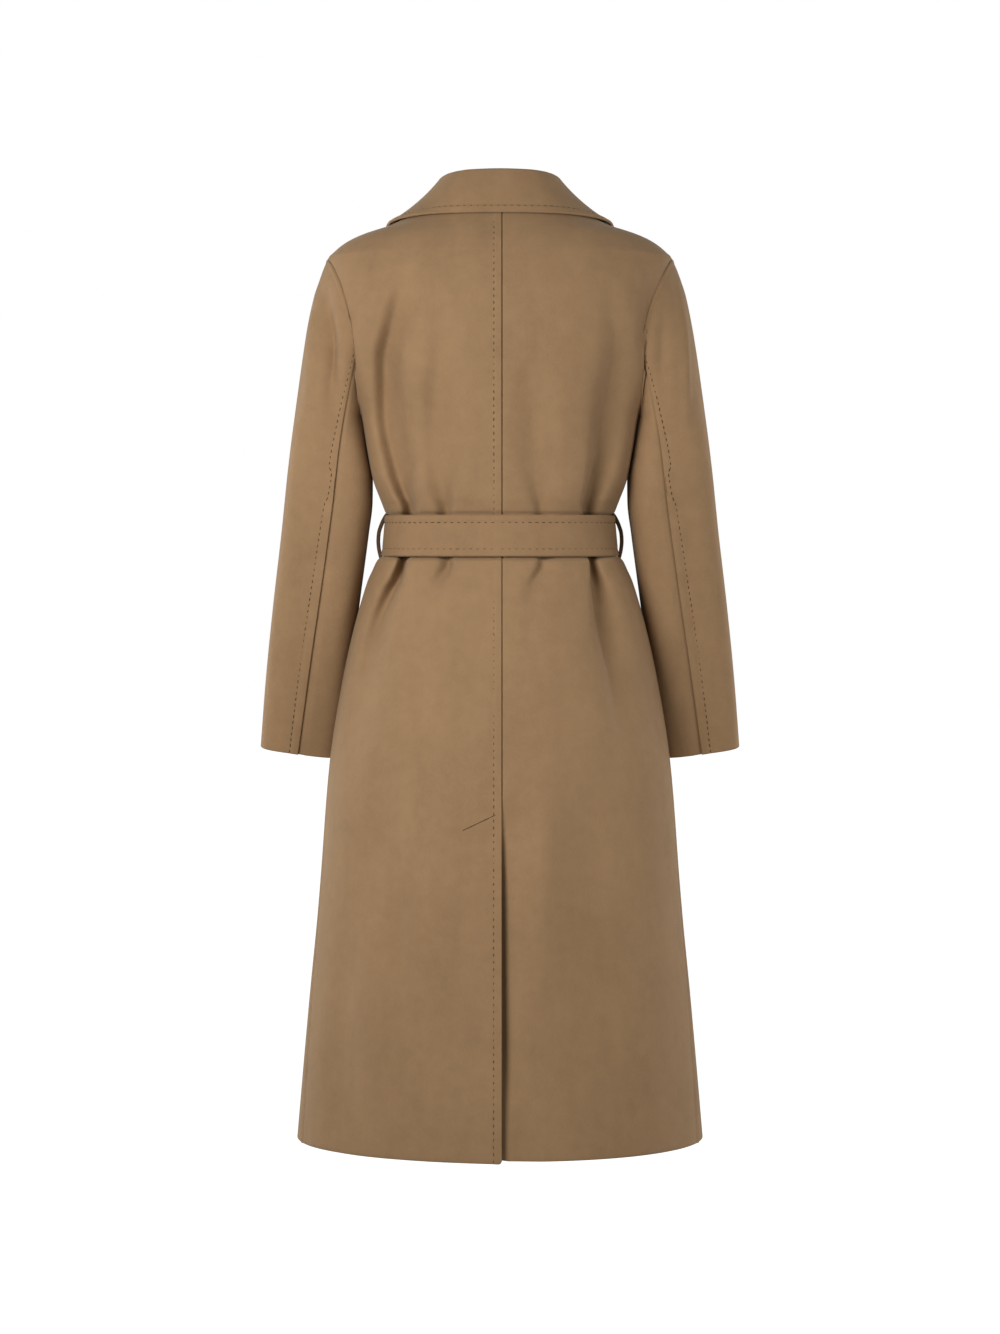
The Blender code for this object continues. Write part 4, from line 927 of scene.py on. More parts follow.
def panel_angles(face, heights, edge, folds):
    """Angles of a body panel's columns, which run from its own edge along its folds to its side edge.

    Columns crowd toward every fold line from the centre side, and toward the side edge.
    """
    own_edge = edge(heights)
    room = EDGE_SHARE * (column(folds[0], "across", heights) - own_edge)
    columns = [own_edge + np.minimum(np.array(EDGE_STEPS), room * EDGE_PLACES)]
    side_end = side_angle(heights, face)
    side_sine = np.sin(np.minimum(side_end, math.pi / 2.0))
    side_share = side_sine ** (2.0 / column(BODY, "squareness", heights))
    side_across = column(BODY, "half_width", heights) * side_share
    for fold in folds:
        middle = column(fold, "across", heights)
        half = FOLD_SPAN * column(fold, "half_width", heights)
        start = columns[-1][:, -1:]
        near = np.maximum(middle - half, start + FOLD_ROOM * (middle - start))
        far = middle + np.minimum(half, FOLD_SIDE_ROOM * (side_across - middle))
        columns += [between(start, near, FLAT_COLUMNS),
                    between(near, middle, FOLD_COLUMNS, FOLD_CROWDING),
                    between(middle, far, FOLD_COLUMNS)]
    angles = angle_at(np.concatenate(columns, axis=1), heights, face)
    to_side = between(angles[:, -1:], side_end, SIDE_COLUMNS, SIDE_CROWDING)
    return np.concatenate([angles, to_side], axis=1)


def panel_grid(side, face, edge, folds, lift):
    """Outer face of a body panel: the body form with a shaped hem, a side seam and a nip under the belt.

    The hem drops by a bell of the distance across and its corner is a quarter circle. The strip along
    the side seam rises behind and sinks in front, where the last column runs on under the back.
    """
    heights = panel_heights()[:, None]
    angles = panel_angles(face, heights, edge, folds)
    heights = np.broadcast_to(heights, angles.shape)
    points = body_point(side, angles, heights, lift, back_sink(side) if face == BACK else None)
    drop = HEM_DROPS[SIDE_NAMES[side], face]
    across = side * points[..., 0]
    near_hem = soft_step(heights, HEM + HEM_EASE, HEM)
    points[..., 2] += drop.centre * bell(across / drop.reach) * near_hem
    short = np.maximum(HEM_CORNER - row_reach(points), 0.0)
    corner = HEM_CORNER - np.sqrt(HEM_CORNER ** 2 - short ** 2)
    points[..., 2] += corner * soft_step(heights, HEM + HEM_CORNER_EASE, HEM)
    from_seam = row_reach(points[:, ::-1])[:, ::-1]
    started = soft_step(heights, *SIDE_SEAM_STARTS)
    rise = SIDE_SEAM_RISE[face] * soft_step(from_seam, *SIDE_SEAM_STRIP) * started
    nip = BELT_NIP * bell((heights - BELT_BOTTOM) / BELT_NIP_REACH)
    rise = rise - nip * soft_step(across, *BELT_NIP_ENDS)
    points = points + rise[..., None] * grid_outward(points, -side * face)
    points = trimmed(points, SEAM_GAP)
    if face == FRONT:
        points[:, -1] += SIDE_SEAM_LAP * started[:, -1:] * unit(points[:, -1] - points[:, -2])
    return points, grid_outward(points, -side * face)


def with_rim(points, outward, axis, radius):
    """Grid with rows of points added close to both ends of an axis, and the wall's fullness at each row.

    The fullness is a quarter circle of the distance from the end, so that the rim comes out half round.
    """
    points = np.moveaxis(points, axis, 0)
    outward = np.moveaxis(outward, axis, 0)
    places = np.array(RIM_PLACES)
    rise = np.sqrt(1.0 - (1.0 - places) ** 2)
    first = [points[0] + place * radius * unit(points[1] - points[0]) for place in places]
    last = [points[-1] + place * radius * unit(points[-2] - points[-1]) for place in places[::-1]]
    points = np.concatenate([points[:1], first, points[1:-1], last, points[-1:]])
    count = len(places)
    outward = np.concatenate([np.repeat(outward[:1], count + 1, axis=0), outward[1:-1],
                              np.repeat(outward[-1:], count + 1, axis=0)])
    fullness = np.concatenate([[0.0], rise, np.ones(len(points) - 2 * count - 2), rise[::-1], [0.0]])
    return np.moveaxis(points, 0, axis), np.moveaxis(outward, 0, axis), fullness


def grid_faces(index):
    """Four-cornered faces between neighbours in a grid of point numbers."""
    corners = [index[:-1, :-1], index[:-1, 1:], index[1:, 1:], index[1:, :-1]]
    return np.stack(corners, axis=-1).reshape(-1, 4)


def shell_faces(rows, columns):
    """Faces of an outer and an inner grid that share their rim; inner points follow the outer ones."""
    outer = np.arange(rows * columns).reshape(rows, columns)
    inner = outer.copy()
    inside = (rows - 2) * (columns - 2)
    inner[1:-1, 1:-1] = rows * columns + np.arange(inside).reshape(rows - 2, columns - 2)
    return np.concatenate([grid_faces(outer), grid_faces(inner)[:, ::-1]])


def cloth_shell(name, outer, outward, thickness, finish):
    """Closed cloth wall with rounded rims under an outer face: its middle, plus and minus half a wall."""
    middle = outer - thickness / 2.0 * outward
    middle, outward, across = with_rim(middle, outward, 1, RIM)
    middle, outward, along = with_rim(middle, outward, 0, RIM)
    half = thickness / 2.0 * np.minimum(along[:, None], across[None, :])[..., None]
    rows, columns = middle.shape[:2]
    points = np.concatenate([(middle + half * outward).reshape(-1, 3),
                             (middle - half * outward)[1:-1, 1:-1].reshape(-1, 3)])
    return add_mesh(name, points, shell_faces(rows, columns), finish)


def ring_faces(rows, columns, closed_rows):
    """Faces of a grid whose columns close round, and whose rows close round too where asked."""
    index = np.arange(rows * columns).reshape(rows, columns)
    if closed_rows:
        index = np.concatenate([index, index[:1]])
    index = np.concatenate([index, index[:, :1]], axis=1)
    return grid_faces(index)


def add_mesh(name, points, faces, finish):
    """Smooth closed mesh object of four-cornered faces, turned outward by the sign of its volume."""
    first, second, third, fourth = (points[faces[:, corner]] for corner in range(4))
    volume = np.sum(first * np.cross(second, third)) + np.sum(first * np.cross(third, fourth))
    if volume < 0.0:
        faces = faces[:, ::-1]
    mesh = bpy.data.meshes.new(name)
    mesh.from_pydata(points.tolist(), [], faces.tolist())
    mesh.polygons.foreach_set("use_smooth", np.ones(len(faces), bool))
    mesh.materials.append(finish)
    mesh.validate()
    made = bpy.data.objects.new(name, mesh)
    bpy.context.scene.collection.objects.link(made)
    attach(made, BODY_NAME)
    return made


def stand_for(node):
    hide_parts(node)


def evenly(points, outward, pitch, margin):
    """Places at an even pitch along a line of points, with its direction and normal at each of them."""
    steps = np.linalg.norm(np.diff(points, axis=0), axis=1)
    reach = np.concatenate([[0.0], np.cumsum(steps)])
    count = max(2, 1 + int((reach[-1] - 2.0 * margin) / pitch))
    at = margin + pitch * np.arange(count)
    aside = STITCH_SLOPE_REACH * pitch

    def read(values, where):
        return np.stack([np.interp(where, reach, values[:, axis]) for axis in range(3)], axis=-1)

    way = read(points, at + aside) - read(points, at - aside)
    return read(points, at), unit(way), unit(read(outward, at))


def pick_run(points, outward, sizes):
    """Run of pick stitches of the usual size along a line."""
    return Run(points, outward, sizes.stitch_pitch, sizes.stitch_length, sizes.stitch_width)


def pick_stitches(name, runs, finish):
    """Runs of small sewn stitches as one mesh: each is a short bead whose tips dip into the cloth.

    A bead is a few rings of six points round its own line, largest in the middle, closed by two tips;
    every bead is placed by the line's direction, its normal and their cross product. A slow wave of
    chance along the run lets some beads sink into the nap.
    """
    draw = np.random.default_rng(STITCH_SEED)
    found = [evenly(run.points, run.outward, run.pitch, STITCH_MARGIN) for run in runs]
    counts = [len(parts[0]) for parts in found]
    places, along, normal = (np.concatenate(parts) for parts in zip(*found))
    count = len(places)
    along = unit(along + STITCH_SWAY * draw.normal(size=(count, 1)) * np.cross(normal, along))
    aside = unit(np.cross(normal, along))
    uneven = 1.0 + STITCH_UNEVEN * draw.normal(size=count)
    length = np.repeat([run.length for run in runs], counts) * uneven
    radius = (np.repeat([run.width for run in runs], counts) / 2.0)[:, None, None]
    chance = draw.normal(size=count + NAP_WAVE - 1)
    wave = np.convolve(chance, np.ones(NAP_WAVE) / math.sqrt(NAP_WAVE), mode="valid")
    places = places - radius[:, 0] * (NAP_SINK + NAP_SINK_SPREAD * wave)[:, None] * normal
    turns = np.linspace(0.0, 2.0 * math.pi, STITCH_SIDES, endpoint=False)
    template = [(-STITCH_TIP, 0.0, 0.0)]
    for place, fullness in STITCH_RINGS:
        template += [(place, fullness * math.cos(turn), fullness * math.sin(turn)) for turn in turns]
    template = np.array(template + [(STITCH_TIP, 0.0, 0.0)])
    dip = STITCH_SINK * (1.0 - STITCH_DIP * template[:, 0] ** 2)
    points = (places[:, None]
              + length[:, None, None] * template[:, 0][None, :, None] * along[:, None]
              + radius * template[:, 1][None, :, None] * aside[:, None]
              + radius * (template[:, 2] + dip)[None, :, None] * normal[:, None])
    faces = stitch_faces()
    shift = (len(template) * np.arange(count))[:, None, None]
    quads = (faces + shift).reshape(-1, 4)
    made = add_mesh(name, points.reshape(-1, 3), quads, finish)
    return made


def stitch_faces():
    """Faces of one stitch; at a tip a face gives its tip twice, which the mesh takes as a triangle."""
    rings = len(STITCH_RINGS)
    index = 1 + np.arange(rings * STITCH_SIDES).reshape(rings, STITCH_SIDES)
    tip = 1 + rings * STITCH_SIDES
    rows = [np.zeros(STITCH_SIDES, int), *index, np.full(STITCH_SIDES, tip)]
    faces = []
    for near, far in zip(rows[:-1], rows[1:]):
        faces.append(np.stack([near, np.roll(near, -1), np.roll(far, -1), far], axis=-1))
    return np.concatenate(faces)


def vent_line(sizes):
    """Slanting row of stitches that holds the top of the vent, on the left back."""
    share = np.linspace(0.0, 1.0, VENT_TACK_POINTS)
    start, end = np.array(VENT_TACK)
    across, height = (start + (end - start) * share[:, None]).T
    points = body_point(LEFT, angle_at(across, height, BACK), height, back_left_lift(sizes))
    return points, unit(body_slope(points))


def cap_reach(height):
    """Half depth of the sleeve's level section in the cap, and its angle at the armhole edge."""
    share = np.clip((height - ARMHOLE_MIDDLE) / ARMHOLE_HALF_HEIGHT, -1.0, 1.0)
    room = np.maximum(1.0 - share ** 2, LEAST_ROOM)
    bicep = column(SLEEVE, "half_depth", np.full_like(height, UNDERARM)) / ARMHOLE_HALF_DEPTH
    low_cap = 1.0 - (1.0 - bicep) * share ** 2
    half_depth = ARMHOLE_HALF_DEPTH * np.where(share > 0.0, room ** CAP_ROUNDNESS, low_cap)
    turn = np.arcsin(np.clip(armhole_depth(height) / half_depth, 0.0, 1.0))
    return half_depth, np.where(share > 0.0, turn, math.pi - turn)


def armhole_across(height, face):
    """Distance across of the armhole edge at a height, on the back or the front."""
    width = column(BODY, "half_width", height)
    power = column(BODY, "squareness", height)
    depth = column(BODY, "back_depth" if face == BACK else "front_depth", height)
    return width * (1.0 - (armhole_depth(height) / depth) ** power) ** (1.0 / power)


def sleeve_half_width(height, face):
    """Half width of the sleeve's level section; in the cap, of a part ellipse up to the armhole."""
    outer = column(SLEEVE, "outer", height)
    cap_turn = cap_reach(height)[1]
    cap_width = (outer - armhole_across(height, face)) / np.maximum(1.0 - np.cos(cap_turn), LEAST_TURN)
    return np.where(height > UNDERARM, cap_width, (outer - column(SLEEVE, "inner", height)) / 2.0)


def eased_half_width(height):
    """Half width of the sleeve behind, as a mean over nearby heights close to the underarm."""
    width = sleeve_half_width(height, BACK)
    near = [sleeve_half_width(height + step, BACK) for step in UNDERARM_EASE_STEPS]
    mean = sum(near) / len(near)
    return width + (mean - width) * bell((height - UNDERARM) / UNDERARM_EASE)


def sleeve_power(height):
    """Power of sine and cosine in the sleeve's section: 1 in the cap, less and so squarer below it."""
    return 1.0 + (SLEEVE_POWER - 1.0) * soft_step(height, *SLEEVE_POWER_STARTS)


def sleeve_point(side, turn, height):
    """Point on the sleeve form: level rounded sections along the arm, part ellipses up to the armhole.

    The turn is 0 on the outside, negative behind and positive in front. Close to the underarm the width
    is a mean over nearby heights, so that no edge shows there.
    """
    outer = column(SLEEVE, "outer", height)
    behind = np.sin(turn) < 0.0
    half_width = np.where(behind, sleeve_half_width(height, BACK), sleeve_half_width(height, FRONT))
    ease = soft_step(np.abs(turn), *UNDERARM_EASE_TURNS)
    half_width = half_width + (eased_half_width(height) - sleeve_half_width(height, BACK)) * ease
    power = sleeve_power(height)
    half_depth = np.where(height > UNDERARM, cap_reach(height)[0], column(SLEEVE, "half_depth", height))
    x = outer - half_width + half_width * signed_power(np.cos(turn), power)
    y = column(SLEEVE, "middle", height) + half_depth * signed_power(np.sin(turn), power)
    return np.stack([side * x, y, np.broadcast_to(height, x.shape)], axis=-1)


def hind_seam_turn(height):
    """Turn at which the hind seam lies at its own distance across, at the given heights."""
    from_outer = column(SLEEVE, "outer", height) - column(HIND_SEAM, "across", height)
    share = np.clip(1.0 - from_outer / eased_half_width(height), -1.0, 1.0)
    return -np.arccos(signed_power(share, 1.0 / sleeve_power(height)))


def ring_point(side, ring_turn, lift_back, lift_front):
    """Point of the body's own armhole edge at places on the armhole ring; 0 is the shoulder tip."""
    height = ARMHOLE_MIDDLE + ARMHOLE_HALF_HEIGHT * np.cos(ring_turn)
    inside = np.clip(height, UNDERARM + RING_INSET, SHOULDER_TIP - RING_INSET)
    behind = body_point(side, side_angle(inside, BACK), inside, lift_back)
    ahead = body_point(side, side_angle(inside, FRONT), inside, lift_front)
    return np.where((np.sin(ring_turn) >= 0.0)[:, None], behind, ahead)


def sleeve_grid(side, ring_turns, cuff_turns, lifts):
    """Outer face of a sleeve piece: lines from the tilted cuff up to its part of the armhole ring.

    Along a line the rows crowd from cuff to armhole and the turn swings over near the top;
    lines near the hind seam are turned with it. Near the top a line is also moved so that it ends on
    the body's own edge.
    """
    ring_turns = np.broadcast_to(ring_turns, (SLEEVE_ROWS, ring_turns.shape[-1]))
    cuff_turns = np.broadcast_to(cuff_turns, ring_turns.shape)
    top_height = ARMHOLE_MIDDLE + ARMHOLE_HALF_HEIGHT * np.cos(ring_turns)
    cap_turn = cap_reach(top_height)[1]
    top_turn = np.where(ring_turns < math.pi, -cap_turn, cap_turn)
    if cuff_turns.min() < -math.pi:
        top_turn = np.where(top_turn > 0.0, top_turn - 2.0 * math.pi, top_turn)
    level = np.array([CUFF_HEIGHT])
    near_seam = bell((cuff_turns - CUFF_HIND_SEAM) / HIND_SEAM_SPAN)
    swung = (hind_seam_turn(level)[0] - CUFF_HIND_SEAM) * near_seam
    cuff = sleeve_point(side, cuff_turns + swung, np.full_like(cuff_turns, CUFF_HEIGHT))
    middle_x = side * (column(SLEEVE, "outer", level)[0] + column(SLEEVE, "inner", level)[0]) / 2.0
    middle_y = column(SLEEVE, "middle", level)[0]
    cuff_height = (CUFF_HEIGHT + CUFF_TILT_OUT * side * (cuff[..., 0] - middle_x)
                   + CUFF_TILT_FRONT * (cuff[..., 1] - middle_y))
    share = 1.0 - (1.0 - np.linspace(0.0, 1.0, SLEEVE_ROWS)[:, None]) ** SLEEVE_ROW_CROWDING
    height = cuff_height + (top_height - cuff_height) * share
    turn = cuff_turns + (top_turn - cuff_turns) * share ** SEAM_SWING
    seam = int(np.argmin(np.abs(cuff_turns[0] - CUFF_HIND_SEAM)))
    shift = hind_seam_turn(height[:, seam]) - turn[:, seam]
    turn = turn + shift[:, None] * near_seam
    points = sleeve_point(side, turn, height)
    ring = ring_point(side, ring_turns[-1], *lifts)
    tuck = bell((ring_turns[-1] - TUCK_TURN) / TUCK_SPAN)[:, None]
    edge = ring + tuck * np.array(TUCK) * (side, 1.0, 1.0)
    low = soft_step(np.cos(ring_turns), *UNDERARM_FIT)
    fit = share ** (CAP_FIT_POWER + (UNDERARM_FIT_POWER - CAP_FIT_POWER) * low)
    points = points + (edge - points[-1]) * fit[..., None]
    points = points + (ring - edge) * soft_step(share, TUCK_RETURN, 1.0)[..., None]
    points[-1] += SEAM_GAP * unit(np.array(CAP_SEAM_WAY) * (side, 1.0, 1.0))
    return points, turn, share


def creased_sleeve(side, points, turn, share, outward, creases):
    """Sleeve points moved out by their creases, which fade out toward the sides and the armhole."""
    across = side * points[..., 0]
    lift = crease_lift(creases, across, points[..., 2])
    seen = soft_step(np.abs(np.sin(turn)), 0.0, SLEEVE_CREASE_TURN)
    return points + (lift * seen * (1.0 - share ** SLEEVE_CREASE_FADE))[..., None] * outward


def row_reach(points):
    """Distance of every point of a grid from its row's first point, along the row."""
    steps = np.linalg.norm(np.diff(points, axis=1), axis=-1)
    return np.concatenate([np.zeros((len(points), 1)), np.cumsum(steps, axis=1)], axis=1)


def upper_sleeve(side, sizes, lifts, creases):
    """Outer face of the upper sleeve, from the hind seam over the outside to the fore seam."""
    width = np.full((SLEEVE_ROWS, 1), UPPER_WIDTH)
    for _ in range(SPACING_ROUNDS):
        steps = np.array(EDGE_STEPS) / width
        share = np.concatenate([steps, between(steps[:, -1:], 1.0, UPPER_COLUMNS)], axis=1)
        ring = math.pi * RING_SEAM * (1.0 - 2.0 * share)
        ring = np.where(ring < 0.0, ring + 2.0 * math.pi, ring)
        cuff = CUFF_HIND_SEAM + (CUFF_FORE_SEAM - CUFF_HIND_SEAM) * share
        points, turn, rows = sleeve_grid(side, ring, cuff, lifts)
        reach = row_reach(points)
        width = width * reach[:, STITCH_COLUMN:STITCH_COLUMN + 1] / EDGE_STEPS[STITCH_COLUMN]
    outward = grid_outward(points, side)
    from_ring = np.linalg.norm(points - points[-1], axis=-1)
    ridge = CAP_RIDGE * soft_step(from_ring, 0.0, CAP_RIDGE_RISE) * soft_step(from_ring, *CAP_RIDGE_FALL)
    points = creased_sleeve(side, points, turn, rows, outward, creases)
    lift = ridge + strip_lift(sizes, reach) * (1.0 - rows ** CAP_FIT_POWER)
    points = trimmed(points + lift[..., None] * outward, SEAM_GAP, ends=False)
    return points, grid_outward(points, side)


def under_sleeve(side, lifts, creases):
    """Outer face of the under sleeve, from the hind seam under the arm to the fore seam.

    Its edges run on a little under the upper sleeve, set back from it.
    """
    lap = SLEEVE_UNDERLAP * np.array(SLEEVE_UNDERLAP_STEPS)
    share = np.concatenate([-lap, np.linspace(0.0, 1.0, UNDER_COLUMNS), 1.0 + lap[::-1]])
    ring = math.pi * (RING_SEAM + 2.0 * (1.0 - RING_SEAM) * share)
    cuff = CUFF_HIND_SEAM + (CUFF_FORE_SEAM - 2.0 * math.pi - CUFF_HIND_SEAM) * share
    points, turn, rows = sleeve_grid(side, ring, cuff, lifts)
    outward = grid_outward(points, -side)
    points = creased_sleeve(side, points, turn, rows, outward, creases)
    inside = np.minimum(share, 1.0 - share) * UNDER_WIDTH
    recess = UNDERLAP_RECESS * soft_step(inside, *UNDERLAP_ENDS) * (1.0 - rows ** CAP_FIT_POWER)
    points = points - recess[..., None] * outward
    return points, grid_outward(points, -side)


def lapel_grid(side, sizes, lift):
    """Outer face of a lapel: from its roll line across the front to its shaped edge.

    Each point lies on the front panel's form, moved out by the cloth and a gap that grows from the roll
    line to the edge.
    """
    along = np.linspace(0.0, 1.0, LAPEL_ROWS)[:, None]
    steps = np.array(EDGE_STEPS[::-1]) / np.linalg.norm((LAPEL[1].edge_across, LAPEL[1].edge_height))
    over = np.concatenate([np.linspace(0.0, 1.0 - steps[0], LAPEL_COLUMNS), 1.0 - steps[1:]])[None, :]
    roll_height = column(LAPEL, "roll_height", along, "share")
    roll_across = front_edge(roll_height)
    edge_across = column(LAPEL, "edge_across", along, "share")
    edge_height = column(LAPEL, "edge_height", along, "share")
    across = roll_across + (edge_across - roll_across) * over
    height = roll_height + (edge_height - roll_height) * over
    form = body_point(side, angle_at(across, height, FRONT), height, lift)
    outward = grid_outward(form, side)
    gap = LAPEL_ROLL_GAP + (LAPEL_EDGE_GAP - LAPEL_ROLL_GAP) * over
    points = form + (gap + sizes.cloth)[..., None] * outward
    return points, outward


def mirrored_curve(places, points, at):
    """Smooth curve through points of the right half and their mirror images, read at -1 to 1."""
    points = np.asarray(points, float)
    mirror = points[:0:-1] * np.array([-1.0, 1.0, 1.0])
    every = np.concatenate([mirror, points])
    knots = np.concatenate([-np.asarray(places)[:0:-1], places])
    return np.stack([smooth_curve(knots, every[:, axis], at) for axis in range(3)], axis=-1)


def body_level(points):
    """How far out from the body's axis points lie, as a share of the body's own section; 1 is on it."""
    height = points[..., 2]
    power = column(BODY, "squareness", height)
    deep = points[..., 1] - column(BODY, "middle", height)
    back = column(BODY, "back_depth", height)
    front = column(BODY, "front_depth", height)
    depth = np.where(deep < 0.0, back, front)
    wide = np.abs(points[..., 0]) / column(BODY, "half_width", height)
    return (wide ** power + np.abs(deep / depth) ** power) ** (1.0 / power)


def body_slope(points):
    """How fast the level rises along X, Y and Z, from small steps either way."""
    steps = PUSH_STEP * np.eye(3)
    slopes = [body_level(points + step) - body_level(points - step) for step in steps]
    return np.stack(slopes, axis=-1) / (2.0 * PUSH_STEP)


def clear_of_body(points, room):
    """Points pushed out softly along the level's slope until they lie at least room outside the body."""
    for _ in range(PUSH_ROUNDS):
        slope = body_slope(points)
        size = np.linalg.norm(slope, axis=-1, keepdims=True)
        short = room - (body_level(points)[..., None] - 1.0) / size
        push = 0.5 * (short + np.sqrt(short ** 2 + COLLAR_PUSH_EASE ** 2))
        points = points + push * slope / size
    return points


def collar_edge(station):
    """Point of the collar's outer edge, lifted from the body under it."""
    across = np.array([station.edge_across])
    height = np.array([station.edge_height])
    point = body_point(RIGHT, angle_at(across, height, station.edge_face), height, no_lift)
    slope = unit(body_slope(point))
    return (point + COLLAR_EDGE_LIFT * slope)[0]


def collar_grid(sizes):
    """Outer face of the collar: up the stand, round the fold and down the fall.

    The roll is an arc that ends where its tangent meets the outer edge; the fall follows that tangent
    with a slight bow, and where it would meet the body it is pushed clear of it.
    """
    at = np.linspace(-1.0, 1.0, COLLAR_COLUMNS + 1)
    places = [station.place for station in COLLAR]
    seam = mirrored_curve(places, [station.seam for station in COLLAR], at)
    fold = mirrored_curve(places, [station.fold for station in COLLAR], at)
    edge = mirrored_curve(places, [collar_edge(station) for station in COLLAR], at)
    up = unit(fold - seam)
    away = edge - fold
    away = unit(away - np.sum(away * up, axis=-1, keepdims=True) * up)
    centre = fold - COLLAR_ROLL * up
    rise = np.sum((edge - centre) * up, axis=-1, keepdims=True)
    run = np.sum((edge - centre) * away, axis=-1, keepdims=True)
    last_turn = math.pi - np.arctan2(rise, run) - np.arccos(COLLAR_ROLL / np.hypot(rise, run))
    share = np.linspace(0.0, 1.0, COLLAR_STAND_ROWS + 1)[:-1, None, None]
    stand = seam + share * (centre - COLLAR_ROLL * away - seam)
    turn = np.linspace(0.0, 1.0, COLLAR_ROLL_ROWS + 1)[:, None, None] * last_turn
    roll = np.sin(turn) * up - np.cos(turn) * away
    start = centre + COLLAR_ROLL * roll[-1]
    length = np.linalg.norm(edge - start, axis=-1, keepdims=True)
    fall_length = np.linalg.norm(collar_edge(COLLAR[0]) - np.array(COLLAR[0].fold))
    steps = np.array(EDGE_STEPS[::-1]) / fall_length
    share = np.concatenate([np.linspace(0.0, 1.0 - steps[0], COLLAR_FALL_ROWS + 1)[1:], 1.0 - steps[1:]])
    share = share[:, None, None]
    bow = COLLAR_BOW + (COLLAR_SIDE_BOW - COLLAR_BOW) * soft_step(np.abs(at), *COLLAR_SIDE_REACH)
    fall = start + share * (edge - start) + bow[:, None] * 4.0 * share * (1.0 - share) * roll[-1]
    points = np.concatenate([stand, centre + COLLAR_ROLL * roll, clear_of_body(fall, COLLAR_ROOM)])
    strip = strip_lift(sizes, ((1.0 - share) * length)[..., 0])
    points[-len(fall):] += strip[..., None] * grid_outward(points, -1.0)[-len(fall):]
    return points, grid_outward(points, -1.0)


def belt_lift(across, height):
    """Room under the belt: close to the cloth, and over the second front where the fronts lap."""
    lap = column(FRONT_EDGE, "lap", height) + LAP_MARGIN
    return BELT_EASE + SKIRT_LAP * soft_step(np.abs(across), lap + BELT_LAP_FADE, lap)


def belt_point(angle, out, height):
    """Point of the belt band: the waist section moved out level, at the band's own height."""
    waist = np.full(np.broadcast(angle, out).shape, BELT_MIDDLE)
    angle = np.broadcast_to(angle, waist.shape)

    def lift(across, at):
        return np.where(np.cos(angle) < 0.0, belt_lift(across, at), BELT_EASE) + out

    points = body_point(RIGHT, angle, waist, lift)
    points[..., 2] = height + waist_rise(points[..., 1], BELT_MIDDLE)
    return points


def belt_profile(sizes):
    """Section of the belt as distances out and heights: stitched face, half-round edges, flat back."""
    radius = sizes.belt_cloth / 2.0
    half = (BELT_TOP - BELT_BOTTOM) / 2.0
    face = np.linspace(radius - half, half - radius, BELT_FACE_ROWS)
    from_edge = half - np.abs(face)
    groove = BELT_GROOVE * stitch_bell(sizes, from_edge)
    bulge = BELT_BULGE * soft_step(from_edge, sizes.stitch_inset, sizes.stitch_inset / 2.0)
    face_out = sizes.belt_cloth + bulge - groove
    turn = np.linspace(0.0, math.pi, BELT_EDGE_ROWS + 2)[1:-1]
    edge_out = radius + (radius + BELT_BULGE * (1.0 + np.cos(turn)) / 2.0) * np.cos(turn)
    edge_up = half - radius + radius * np.sin(turn)
    back = np.linspace(half - radius, radius - half, BELT_EDGE_ROWS)
    out = np.concatenate([face_out, edge_out, np.zeros_like(back), edge_out[::-1]])
    up = np.concatenate([face, edge_up, back, -edge_up[::-1]])
    return out - BELT_FLARE * up / half, BELT_MIDDLE + up


def belt_front(sizes):
    """Y of the belt's outer face at the centre front."""
    return belt_point(np.array([math.pi]), np.array([sizes.belt_cloth + BELT_BULGE]), BELT_MIDDLE)[0, 1]


def belt_line(sizes, height):
    """Line round the belt's outer face at a height, with its outward normals."""
    angle = np.linspace(0.0, 2.0 * math.pi, BELT_COLUMNS)
    half = (BELT_TOP - BELT_BOTTOM) / 2.0
    out = sizes.belt_cloth - BELT_GROOVE - BELT_FLARE * (height - BELT_MIDDLE) / half
    points = belt_point(angle, np.full_like(angle, out), height)
    outer = belt_point(angle, np.full_like(angle, 2.0 * out), height)
    return points, unit(outer - points)


def belt_end_grid(end, sizes):
    """Outer face of a hanging belt end: a strip on the front's form, pleated below the knot."""
    share = np.linspace(0.0, 1.0, BELT_END_ROWS)[:, None]
    over = np.linspace(-0.5, 0.5, BELT_END_COLUMNS)[None, :]
    height = BELT_END_TOP + (end.bottom - BELT_END_TOP) * share + 0.0 * over
    middle = end.top_across + (end.bottom_across - end.top_across) * share
    gather = bell((height - BELT_END_TOP) / BELT_END_GATHER_REACH)
    across = middle + BELT_END_WIDTH * over * (1.0 - BELT_END_GATHER * gather)
    layer = end.layer * soft_step(height, BELT_END_PARTED[1], BELT_END_PARTED[0])
    near_knot = BELT_END_KNOT_REACH * soft_step(height, BELT_END_KNOT_FREE, BELT_END_TOP)
    pleat = BELT_END_PLEAT * gather * (1.0 + np.cos(2.0 * math.pi * BELT_END_PLEATS * over))
    from_edge = BELT_END_WIDTH * (0.5 - np.abs(over))
    groove = sizes.stitch_groove * stitch_bell(sizes, from_edge)
    room = BELT_END_EASE + layer + near_knot + pleat + sizes.belt_cloth - groove
    over_front = front_right_lift(sizes)
    points = body_point(RIGHT, angle_at(across, height, FRONT), height,
                        lambda place, at: over_front(place, at) + room)
    return points, grid_outward(points, 1.0)


